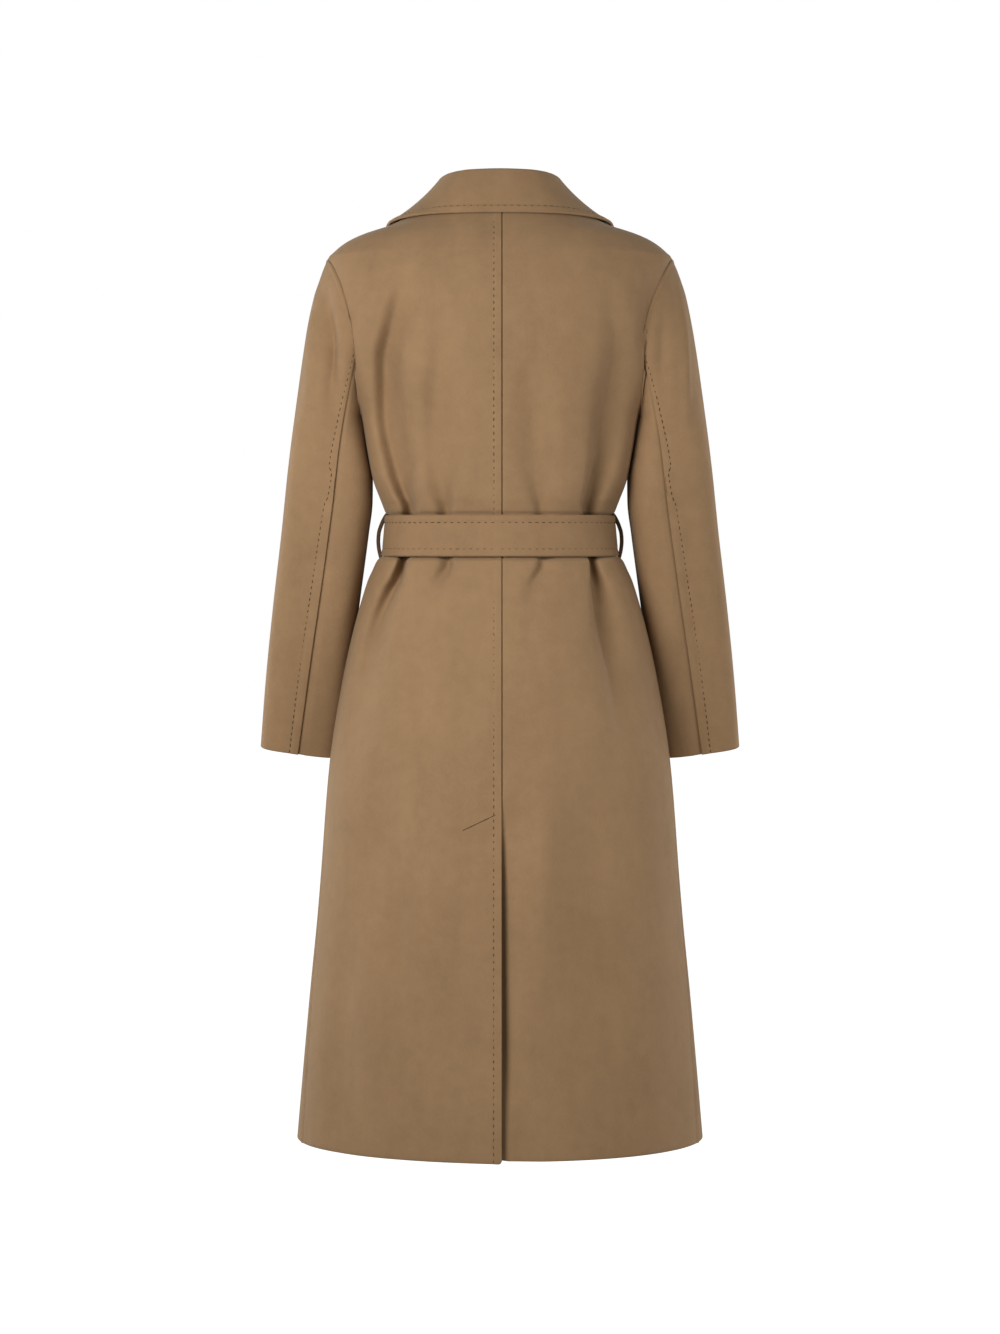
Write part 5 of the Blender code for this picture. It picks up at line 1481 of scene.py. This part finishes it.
def knot_points(sizes):
    """Knot of the belt: a rounded box turned a little, with slanting creases where the band wraps it.

    The box raises the sines and cosines of two angles to a power below one; a crease is a bell of the
    distance from a slanting line on its face.
    """
    row = np.linspace(0.0, math.pi, KNOT_ROWS + 2)[1:-1, None]
    turn = np.linspace(0.0, 2.0 * math.pi, KNOT_COLUMNS, endpoint=False)[None, :]
    directions = np.stack([np.sin(row) * np.cos(turn), np.sin(row) * np.sin(turn),
                           np.cos(row) + 0.0 * turn], axis=-1)
    points = np.array(KNOT_HALF_SIZE) * signed_power(directions, KNOT_SQUARENESS)
    x, y, z = (points[..., axis] for axis in range(3))
    outside = soft_step(y, -KNOT_HALF_SIZE[1] / 2.0, KNOT_HALF_SIZE[1] / 2.0)
    for crease in KNOT_CREASES:
        aside = z - crease.height - crease.slope * (x - crease.across)
        depth = crease.depth * outside * bell(aside / crease.half_width)
        points = points - depth[..., None] * directions
    tilt = np.array([[math.cos(KNOT_TILT), 0.0, -math.sin(KNOT_TILT)], [0.0, 1.0, 0.0],
                     [math.sin(KNOT_TILT), 0.0, math.cos(KNOT_TILT)]])
    centre_y = belt_front(sizes) + KNOT_GAP + KNOT_HALF_SIZE[1]
    centre = np.array([KNOT_ACROSS, centre_y, BELT_MIDDLE + waist_rise(centre_y, BELT_MIDDLE)])
    return points @ tilt.T + centre


def loop_points(side):
    """Belt loop: a rounded narrow section, thicker at both ends, carried along a bowed path."""
    knots = np.linspace(0.0, 1.0, len(LOOP))
    at = np.linspace(0.0, 1.0, LOOP_ROWS)
    path = np.stack([smooth_curve(knots, [point.across for point in LOOP], at),
                     smooth_curve(knots, [point.height for point in LOOP], at)], axis=-1)
    along = unit(np.gradient(path, axis=0))
    out = np.stack([-along[:, 1], along[:, 0]], axis=-1)
    ends = bell(at / LOOP_END_REACH) + bell((1.0 - at) / LOOP_END_REACH)
    cloth = (LOOP_CLOTH + (LOOP_END_CLOTH - LOOP_CLOTH) * ends)[:, None]
    path = path - cloth / 2.0 * out
    turn = np.linspace(0.0, 2.0 * math.pi, LOOP_COLUMNS, endpoint=False)
    thick = cloth / 2.0 * signed_power(np.cos(turn), LOOP_SQUARENESS)
    wide = LOOP_WIDTH / 2.0 * signed_power(np.sin(turn), LOOP_SQUARENESS)
    middle = column(BODY, "middle", np.array([BELT_MIDDLE]))[0]
    flat = path[:, None] + thick[..., None] * out[:, None]
    y = np.broadcast_to(middle + wide, flat.shape[:2])
    return np.stack([side * flat[..., 0], y, flat[..., 1]], axis=-1)


def capped_faces(rows, columns):
    """Faces of a tube with closed columns, and a fan to one added point at each end."""
    sides = ring_faces(rows, columns, False)
    first = np.arange(columns)
    last = first + (rows - 1) * columns
    low = np.full(columns, rows * columns)
    high = low + 1
    caps = [np.stack([low, low, np.roll(first, -1), first], axis=-1),
            np.stack([last, np.roll(last, -1), high, high], axis=-1)]
    return np.concatenate([sides, *caps])


def tube_mesh(name, points, finish):
    """Closed tube from a grid of rings, with its ends fanned to their middles."""
    rows, columns = points.shape[:2]
    ends = np.stack([points[0].mean(axis=0), points[-1].mean(axis=0)])
    points = np.concatenate([points.reshape(-1, 3), ends])
    return add_mesh(name, points, capped_faces(rows, columns), finish)


def link(tree, start, end):
    """Join two sockets of a shader tree."""
    tree.links.new(start, end)


def noise_node(tree, noise):
    """Noise texture on the object's own coordinates; a fall below 1 draws it out down the cloth."""
    place = tree.nodes.new("ShaderNodeMapping")
    place.inputs["Scale"].default_value = (1.0, 1.0, noise.fall)
    link(tree, tree.nodes.new("ShaderNodeTexCoord").outputs["Object"], place.inputs["Vector"])
    made = tree.nodes.new("ShaderNodeTexNoise")
    made.inputs["Scale"].default_value = noise.scale
    made.inputs["Detail"].default_value = noise.detail
    made.inputs["Roughness"].default_value = noise.roughness
    link(tree, place.outputs["Vector"], made.inputs["Vector"])
    return made.outputs["Fac"]


def math_node(tree, operation, first, second):
    """Math node; each side is a socket or a number."""
    made = tree.nodes.new("ShaderNodeMath")
    made.operation = operation
    for place, value in enumerate((first, second)):
        if isinstance(value, bpy.types.NodeSocket):
            link(tree, value, made.inputs[place])
        else:
            made.inputs[place].default_value = value
    return made.outputs["Value"]


def wool_group():
    """Felted wool: cloudy tone, fine hairs that lie down the cloth, and their height.

    The tone is 1 plus each noise, less its mean, times its own strength; it multiplies the colour.
    """
    found = bpy.data.node_groups.get("felted_wool")
    if found:
        return found
    group = bpy.data.node_groups.new("felted_wool", "ShaderNodeTree")
    for way, name, kind in WOOL_SOCKETS:
        group.interface.new_socket(name, in_out=way, socket_type=kind)
    entry = group.nodes.new("NodeGroupInput")
    leave = group.nodes.new("NodeGroupOutput")
    hair = noise_node(group, WOOL_HAIR)
    fuzz = noise_node(group, WOOL_FUZZ)
    parts = []
    for noise in (WOOL_CLOUD, WOOL_PATCH, WOOL_HAIR, WOOL_STREAK):
        value = hair if noise is WOOL_HAIR else noise_node(group, noise)
        off_mean = math_node(group, "SUBTRACT", value, NOISE_MEAN)
        parts.append(math_node(group, "MULTIPLY", off_mean, entry.outputs[noise.strength]))
    tone = parts[0]
    for part in (*parts[1:], 1.0):
        tone = math_node(group, "ADD", tone, part)
    shade = group.nodes.new("ShaderNodeVectorMath")
    shade.operation = "SCALE"
    link(group, entry.outputs["Wool"], shade.inputs[0])
    link(group, tone, shade.inputs["Scale"])
    link(group, shade.outputs["Vector"], leave.inputs["Color"])
    rough = math_node(group, "MULTIPLY", hair, WOOL_ROUGHNESS_SPREAD)
    link(group, math_node(group, "ADD", rough, WOOL_ROUGHNESS), leave.inputs["Roughness"])
    fine = math_node(group, "MULTIPLY", fuzz, FUZZ_SHARE)
    link(group, math_node(group, "ADD", hair, fine), leave.inputs["Height"])
    return group


def new_finish(name):
    """New material with its node tree and its shader."""
    made = bpy.data.materials.new(name)
    made.use_nodes = True
    return made, made.node_tree, made.node_tree.nodes["Principled BSDF"]


def wool_finish(looks, which):
    """One of the wools: the felted group feeds colour, roughness and a fine bump; sheen is even."""
    made = bpy.data.materials.get(WOOL_NAMES[which])
    if made:
        return made
    made, tree, shader = new_finish(WOOL_NAMES[which])
    wool = tree.nodes.new("ShaderNodeGroup")
    wool.node_tree = wool_group()
    wool.inputs["Wool"].default_value = (*getattr(looks, which), 1.0)
    wool.inputs["Cloud"].default_value = looks.cloud
    wool.inputs["Hair"].default_value = looks.hair
    bump = tree.nodes.new("ShaderNodeBump")
    bump.inputs["Strength"].default_value = looks.nap_strength
    bump.inputs["Distance"].default_value = looks.nap_height
    link(tree, wool.outputs["Height"], bump.inputs["Height"])
    link(tree, wool.outputs["Color"], shader.inputs["Base Color"])
    link(tree, wool.outputs["Roughness"], shader.inputs["Roughness"])
    link(tree, bump.outputs["Normal"], shader.inputs["Normal"])
    shader.inputs["Specular IOR Level"].default_value = WOOL_SPECULAR
    shader.inputs["Sheen Weight"].default_value = looks.sheen
    shader.inputs["Sheen Roughness"].default_value = SHEEN_ROUGHNESS
    shader.inputs["Sheen Tint"].default_value = SHEEN_TINT
    return made


def thread_finish(looks):
    """Sewing thread: dark brown yarn whose strands are a fine noise between two tones of its colour."""
    made = bpy.data.materials.get("sewing_thread")
    if made:
        return made
    made, tree, shader = new_finish("sewing_thread")
    ramp = tree.nodes.new("ShaderNodeValToRGB")
    for element, tone in zip(ramp.color_ramp.elements, THREAD_TONES):
        element.color = (*[tone * part for part in looks.thread], 1.0)
    link(tree, noise_node(tree, THREAD_STRANDS), ramp.inputs["Fac"])
    link(tree, ramp.outputs["Color"], shader.inputs["Base Color"])
    shader.inputs["Roughness"].default_value = THREAD_ROUGHNESS
    shader.inputs["Specular IOR Level"].default_value = THREAD_SPECULAR
    return made


def makings(context, which="wool"):
    """Sizes, one of the wools and the thread that the scene's settings ask for."""
    looks = context.scene.coat_looks
    return context.scene.coat_sizes, wool_finish(looks, which), thread_finish(looks)


def length_value(name, description, default):
    """Property for a length in metres."""
    return bpy.props.FloatProperty(name=name, description=description, default=default, min=0.0,
                                   precision=4, subtype="DISTANCE", unit="LENGTH")


def height_value(name, description, default):
    """Property for a height in metres, which may lie below the origin."""
    return bpy.props.FloatProperty(name=name, description=description, default=default,
                                   subtype="DISTANCE", unit="LENGTH")


def power_value(name, description, default):
    """Property for the strength of a light."""
    return bpy.props.FloatProperty(name=name, description=description, default=default, min=0.0)


def colour_value(name, description, default):
    """Property for a linear colour."""
    return bpy.props.FloatVectorProperty(name=name, description=description, default=default, size=3,
                                         min=0.0, max=1.0, subtype="COLOR")


def share_value(name, description, default):
    """Property for a share from 0 to 1."""
    return bpy.props.FloatProperty(name=name, description=description, default=default, min=0.0, max=1.0,
                                   subtype="FACTOR")


class CoatSizes(bpy.types.PropertyGroup):
    """Sizes of the cloth and the sewing."""

    cloth: length_value("Cloth", "Thickness of the coat's wool", 0.0024)
    collar_cloth: length_value("Collar", "Thickness of the doubled collar", 0.0030)
    belt_cloth: length_value("Belt", "Thickness of the doubled belt", 0.0045)
    strip_rise: length_value("Seam strip", "How far a lapped seam stands up", 0.0010)
    stitch_inset: length_value("Stitch inset", "Distance of the pick stitches from their edge", 0.0091)
    stitch_pitch: length_value("Stitch pitch", "Distance from one pick stitch to the next", 0.0080)
    sleeve_pitch: length_value("Sleeve pitch", "Distance between pick stitches along a sleeve", 0.0072)
    stitch_length: length_value("Stitch length", "Length of a pick stitch", 0.0044)
    stitch_width: length_value("Stitch width", "Width of a pick stitch", 0.0010)
    belt_stitch: length_value("Belt stitch", "Length of a stitch along the belt's upper edge", 0.0050)
    fine_stitch: length_value(
        "Fine stitch", "Width of a stitch along the collar and the belt's lower edge", 0.0007)
    tack_pitch: length_value(
        "Tack pitch", "Distance between the close stitches of the vent tack", 0.0024)
    stitch_groove: length_value("Stitch groove", "Depth that the stitches pull in", 0.0006)


class CoatLooks(bpy.types.PropertyGroup):
    """Colours and finish of the wool and the thread; the loops' darker wool is partly their own darker
    cord and partly painted shade.
    """

    wool: colour_value("Wool", "Colour of the coat", (0.300, 0.182, 0.091))
    belt_wool: colour_value("Belt wool", "Colour of the belt", (0.288, 0.173, 0.086))
    # Loop colour: partly the loops' own darker cord, partly painted shade, because the loops' sideways
    # faces lie in shadow.
    loop_wool: colour_value("Loop wool", "Colour of the belt loops", (0.100, 0.058, 0.030))
    thread: colour_value("Thread", "Colour of the sewing thread", (0.078, 0.040, 0.018))
    cloud: share_value("Cloud", "Strength of the cloudy tone", 0.22)
    hair: share_value("Hair", "Strength of the hairs in the colour", 0.25)
    sheen: share_value("Sheen", "Strength of the soft sheen", 0.20)
    nap_strength: share_value("Nap", "Strength of the nap's bump", 0.35)
    nap_height: length_value("Nap height", "Height of the nap", 0.0004)


class CoatStage(bpy.types.PropertyGroup):
    """Camera, lights and floor of the studio."""

    camera_distance: length_value(
        "Camera distance", "Distance of the camera from the coat's middle", 3.4)
    camera_height: height_value("Camera height", "Height of the camera", -0.5604)
    lens: bpy.props.FloatProperty(name="Lens", description="Focal length in millimetres", default=76.45)
    floor_height: height_value("Floor height", "Height of the floor", -1.48)
    floor: colour_value("Floor", "Colour of the floor", (0.25, 0.25, 0.25))
    key: power_value("Key", "Power of the key light in watts", 17.2)
    fill: power_value("Fill", "Power of the light opposite the key in watts", 10.8)
    left_rim: power_value("Left rim", "Power of the left rim light in watts", 19.0)
    right_rim: power_value("Right rim", "Power of the right rim light in watts", 10.4)
    rear: power_value("Rear", "Power of the light before the coat's front in watts", 14.0)
    dome: power_value("Dome", "Strength of the even light", 0.21)


class COAT_OT_backs(bpy.types.Operator):
    """Make the left and right back with the pick stitches of the centre seam and the vent"""

    bl_idname = "coat.backs"
    bl_label = "Backs"

    def execute(self, context):
        sizes, wool, thread = makings(context)
        folds = (BACK_SMALL_LEFT, BACK_DEEP_LEFT)
        points, outward = panel_grid(LEFT, BACK, left_back_edge, folds, back_left_lift(sizes))
        left = cloth_shell("cloth_back_left", points, outward, sizes.cloth, wool)
        below_collar = points[:, STITCH_COLUMN, 2] < COLLAR[0].edge_height
        seam = points[below_collar, STITCH_COLUMN]
        seam_outward = outward[below_collar, STITCH_COLUMN]
        hidden = soft_step(seam[:, 2:], *NAP_HIDES_STARTS) * soft_step(seam[:, 2:], *NAP_HIDES_ENDS)
        runs = [pick_run(seam - NAP_HIDES * hidden * seam_outward, seam_outward, sizes),
                pick_run(*vent_line(sizes), sizes)._replace(pitch=sizes.tack_pitch)]
        sewing = pick_stitches("stitches_back", runs, thread)
        stand_for("back_left")
        folds = (BACK_SMALL_RIGHT, BACK_DEEP_RIGHT)
        points, outward = panel_grid(RIGHT, BACK, right_back_edge, folds, back_right_lift)
        right = cloth_shell("cloth_back_right", points, outward, sizes.cloth, wool)
        stand_for("back_right")
        return {"FINISHED"}


class COAT_OT_fronts(bpy.types.Operator):
    """Make the left front and, over it, the right front with the pick stitches of its edge"""

    bl_idname = "coat.fronts"
    bl_label = "Fronts"

    def execute(self, context):
        sizes, wool, thread = makings(context)
        points, outward = panel_grid(LEFT, FRONT, front_edge, (FRONT_FOLD,), front_left_lift)
        left = cloth_shell("cloth_front_left", points, outward, sizes.cloth, wool)
        stand_for("front_left")
        points, outward = panel_grid(RIGHT, FRONT, front_edge, (FRONT_FOLD,), front_right_lift(sizes))
        right = cloth_shell("cloth_front_right", points, outward, sizes.cloth, wool)
        below_lapel = points[:, STITCH_COLUMN, 2] < LAPEL[-1].edge_height
        run = pick_run(points[below_lapel, STITCH_COLUMN], outward[below_lapel, STITCH_COLUMN], sizes)
        sewing = pick_stitches("stitches_front", [run], thread)
        stand_for("front_right")
        return {"FINISHED"}


class COAT_OT_lapels(bpy.types.Operator):
    """Make the turned-back lapels with the pick stitches of their edges"""

    bl_idname = "coat.lapels"
    bl_label = "Lapels"

    def execute(self, context):
        sizes, wool, thread = makings(context)
        for side, lift in ((LEFT, front_left_lift), (RIGHT, front_right_lift(sizes))):
            name = "lapel_" + SIDE_NAMES[side]
            points, outward = lapel_grid(side, sizes, lift)
            made = cloth_shell("cloth_" + name, points, outward, sizes.cloth, wool)
            place = -1 - STITCH_COLUMN
            run = pick_run(points[:, place], outward[:, place], sizes)
            sewing = pick_stitches("stitches_" + name, [run], thread)
            stand_for(name)
        return {"FINISHED"}


class COAT_OT_collar(bpy.types.Operator):
    """Make the folded collar with the pick stitches of its edge"""

    bl_idname = "coat.collar"
    bl_label = "Collar"

    def execute(self, context):
        sizes, wool, thread = makings(context)
        points, outward = collar_grid(sizes)
        made = cloth_shell("cloth_collar", points, outward, sizes.collar_cloth, wool)
        place = -1 - STITCH_COLUMN
        run = pick_run(points[place], outward[place], sizes)._replace(width=sizes.fine_stitch)
        sewing = pick_stitches("stitches_collar", [run], thread)
        stand_for("collar")
        return {"FINISHED"}


class COAT_OT_sleeves(bpy.types.Operator):
    """Make the two-piece sleeves with the pick stitches of their hind seams"""

    bl_idname = "coat.sleeves"
    bl_label = "Sleeves"

    def execute(self, context):
        sizes, wool, thread = makings(context)
        plans = ((LEFT, (back_left_lift(sizes), front_left_lift), SLEEVE_CREASES_LEFT),
                 (RIGHT, (back_right_lift, front_right_lift(sizes)), SLEEVE_CREASES_RIGHT))
        for side, lifts, creases in plans:
            name = SIDE_NAMES[side]
            points, outward = upper_sleeve(side, sizes, lifts, creases)
            upper = cloth_shell("cloth_sleeve_upper_" + name, points, outward, sizes.cloth, wool)
            run = pick_run(points[:, STITCH_COLUMN], outward[:, STITCH_COLUMN], sizes)
            run = run._replace(pitch=sizes.sleeve_pitch)
            sewing = pick_stitches("stitches_sleeve_" + name, [run], thread)
            stand_for("sleeve_upper_" + name)
            points, outward = under_sleeve(side, lifts, creases)
            under = cloth_shell("cloth_sleeve_under_" + name, points, outward, sizes.cloth, wool)
            stand_for("sleeve_under_" + name)
        return {"FINISHED"}


class COAT_OT_belt(bpy.types.Operator):
    """Make the belt band, its knot and its two hanging ends, with their pick stitches"""

    bl_idname = "coat.belt"
    bl_label = "Belt"

    def execute(self, context):
        sizes, wool, thread = makings(context, "belt_wool")
        out, height = belt_profile(sizes)
        angle = np.linspace(0.0, 2.0 * math.pi, BELT_COLUMNS, endpoint=False)[:, None]
        points = belt_point(angle, out[None, :], height[None, :])
        rows, columns = points.shape[:2]
        band = add_mesh("cloth_belt", points.reshape(-1, 3), ring_faces(rows, columns, True), wool)
        upper = belt_line(sizes, BELT_TOP - sizes.stitch_inset)
        lower = belt_line(sizes, BELT_BOTTOM + sizes.stitch_inset)
        runs = [pick_run(*upper, sizes)._replace(length=sizes.belt_stitch),
                pick_run(*lower, sizes)._replace(width=sizes.fine_stitch)]
        sewing = pick_stitches("stitches_belt", runs, thread)
        stand_for("belt")
        knot = tube_mesh("cloth_belt_knot", knot_points(sizes), wool)
        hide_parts("belt_knot")
        for end in BELT_ENDS:
            points, outward = belt_end_grid(end, sizes)
            made = cloth_shell("cloth_" + end.node, points, outward, sizes.belt_cloth, wool)
            edge = round(BELT_END_COLUMNS * sizes.stitch_inset / BELT_END_WIDTH)
            runs = [pick_run(points[:, place], outward[:, place], sizes) for place in (edge, -1 - edge)]
            sewing = pick_stitches("stitches_" + end.node, runs, thread)
            stand_for(end.node)
        return {"FINISHED"}


class COAT_OT_loops(bpy.types.Operator):
    """Make the narrow belt loops at the side seams"""

    bl_idname = "coat.loops"
    bl_label = "Belt loops"

    def execute(self, context):
        # The loops take the darker wool, which holds painted shade as well as their own darker cord.
        wool = wool_finish(context.scene.coat_looks, "loop_wool")
        for side, name in SIDE_NAMES.items():
            made = tube_mesh("cloth_belt_loop_" + name, loop_points(side), wool)
            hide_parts("belt_loop_" + name)
        return {"FINISHED"}


def add_area_light(name, place, size, power):
    """Square soft light aimed at the coat's middle."""
    lamp = bpy.data.lights.new(name, "AREA")
    lamp.size = size
    lamp.energy = power
    made = bpy.data.objects.new(name, lamp)
    made.location = place
    way = np.array(LIGHT_TARGET) - np.array(place)
    level = math.hypot(way[0], way[1])
    made.rotation_euler = (math.atan2(level, -way[2]), 0.0, math.atan2(-way[0], way[1]))
    bpy.context.scene.collection.objects.link(made)


def camera_ray(tree):
    """Socket that is 1 where the camera itself looks, and 0 for light on its way."""
    return tree.nodes.new("ShaderNodeLightPath").outputs["Is Camera Ray"]


def add_floor(stage):
    """Plain pale floor: a wide flat disc, white to the camera."""
    turns = np.linspace(0.0, 2.0 * math.pi, FLOOR_SEGMENTS, endpoint=False)
    rim = np.stack([FLOOR_SIZE * np.cos(turns), FLOOR_SIZE * np.sin(turns),
                    np.full(FLOOR_SEGMENTS, stage.floor_height)], axis=-1)
    mesh = bpy.data.meshes.new("floor")
    mesh.from_pydata(rim.tolist(), [], [list(range(FLOOR_SEGMENTS))])
    finish, tree, shader = new_finish("pale_floor")
    shader.inputs["Base Color"].default_value = (*stage.floor, 1.0)
    shader.inputs["Roughness"].default_value = FLOOR_ROUGHNESS
    shader.inputs["Emission Strength"].default_value = 1.0
    link(tree, camera_ray(tree), shader.inputs["Emission Color"])
    mesh.materials.append(finish)
    made = bpy.data.objects.new("floor", mesh)
    bpy.context.scene.collection.objects.link(made)


def set_world(stage):
    """White backdrop for the camera, and an even dome of light for everything else."""
    world = bpy.data.worlds.new("studio")
    world.use_nodes = True
    tree = world.node_tree
    backdrop = tree.nodes["Background"]
    backdrop.inputs["Color"].default_value = WHITE
    backdrop.inputs["Strength"].default_value = 1.0
    dome = tree.nodes.new("ShaderNodeBackground")
    dome.inputs["Color"].default_value = WHITE
    dome.inputs["Strength"].default_value = stage.dome
    mix = tree.nodes.new("ShaderNodeMixShader")
    link(tree, camera_ray(tree), mix.inputs["Fac"])
    link(tree, dome.outputs["Background"], mix.inputs[1])
    link(tree, backdrop.outputs["Background"], mix.inputs[2])
    link(tree, mix.outputs["Shader"], tree.nodes["World Output"].inputs["Surface"])
    bpy.context.scene.world = world


class COAT_OT_stage(bpy.types.Operator):
    """Set up the camera, the lights and the pale floor"""

    bl_idname = "coat.stage"
    bl_label = "Studio"

    def execute(self, context):
        stage = context.scene.coat_stage
        add_floor(stage)
        set_world(stage)
        for lamp in LAMPS:
            add_area_light(lamp.power, lamp.place, lamp.size, getattr(stage, lamp.power))
        lens = bpy.data.cameras.new("camera")
        lens.lens = stage.lens
        camera = bpy.data.objects.new("camera", lens)
        camera.location = (0.0, -stage.camera_distance, stage.camera_height)
        camera.rotation_euler = (math.pi / 2.0, 0.0, 0.0)
        context.scene.collection.objects.link(camera)
        context.scene.camera = camera
        context.scene.view_settings.view_transform = "Standard"
        return {"FINISHED"}


OPERATORS = (COAT_OT_backs, COAT_OT_fronts, COAT_OT_lapels, COAT_OT_collar, COAT_OT_sleeves,
             COAT_OT_belt, COAT_OT_loops, COAT_OT_stage)
SETTINGS = {"coat_sizes": CoatSizes, "coat_looks": CoatLooks, "coat_stage": CoatStage}


class COAT_PT_panel(bpy.types.Panel):
    """Sidebar list of the coat's settings and steps"""

    bl_label = "Belted coat"
    bl_idname = "COAT_PT_panel"
    bl_space_type = "VIEW_3D"
    bl_region_type = "UI"
    bl_category = "Coat"

    def draw(self, context):
        for name, group in SETTINGS.items():
            box = self.layout.box()
            for setting in group.__annotations__:
                box.prop(getattr(context.scene, name), setting)
        for operator in OPERATORS:
            self.layout.operator(operator.bl_idname)


CLASSES = (*SETTINGS.values(), *OPERATORS, COAT_PT_panel)


def register():
    """Register the settings, the steps and the sidebar panel."""
    for entry in CLASSES:
        bpy.utils.register_class(entry)
    for name, group in SETTINGS.items():
        setattr(bpy.types.Scene, name, bpy.props.PointerProperty(type=group))


def unregister():
    """Take the panel, the steps and the settings away again."""
    for name in SETTINGS:
        delattr(bpy.types.Scene, name)
    for entry in reversed(CLASSES):
        bpy.utils.unregister_class(entry)


def main():
    """Make the coat and its studio step by step."""
    register()
    bpy.ops.coat.stage()
    bpy.ops.coat.backs()
    bpy.ops.coat.fronts()
    bpy.ops.coat.lapels()
    bpy.ops.coat.collar()
    bpy.ops.coat.sleeves()
    bpy.ops.coat.belt()
    bpy.ops.coat.loops()


if __name__ == "__main__":
    main()
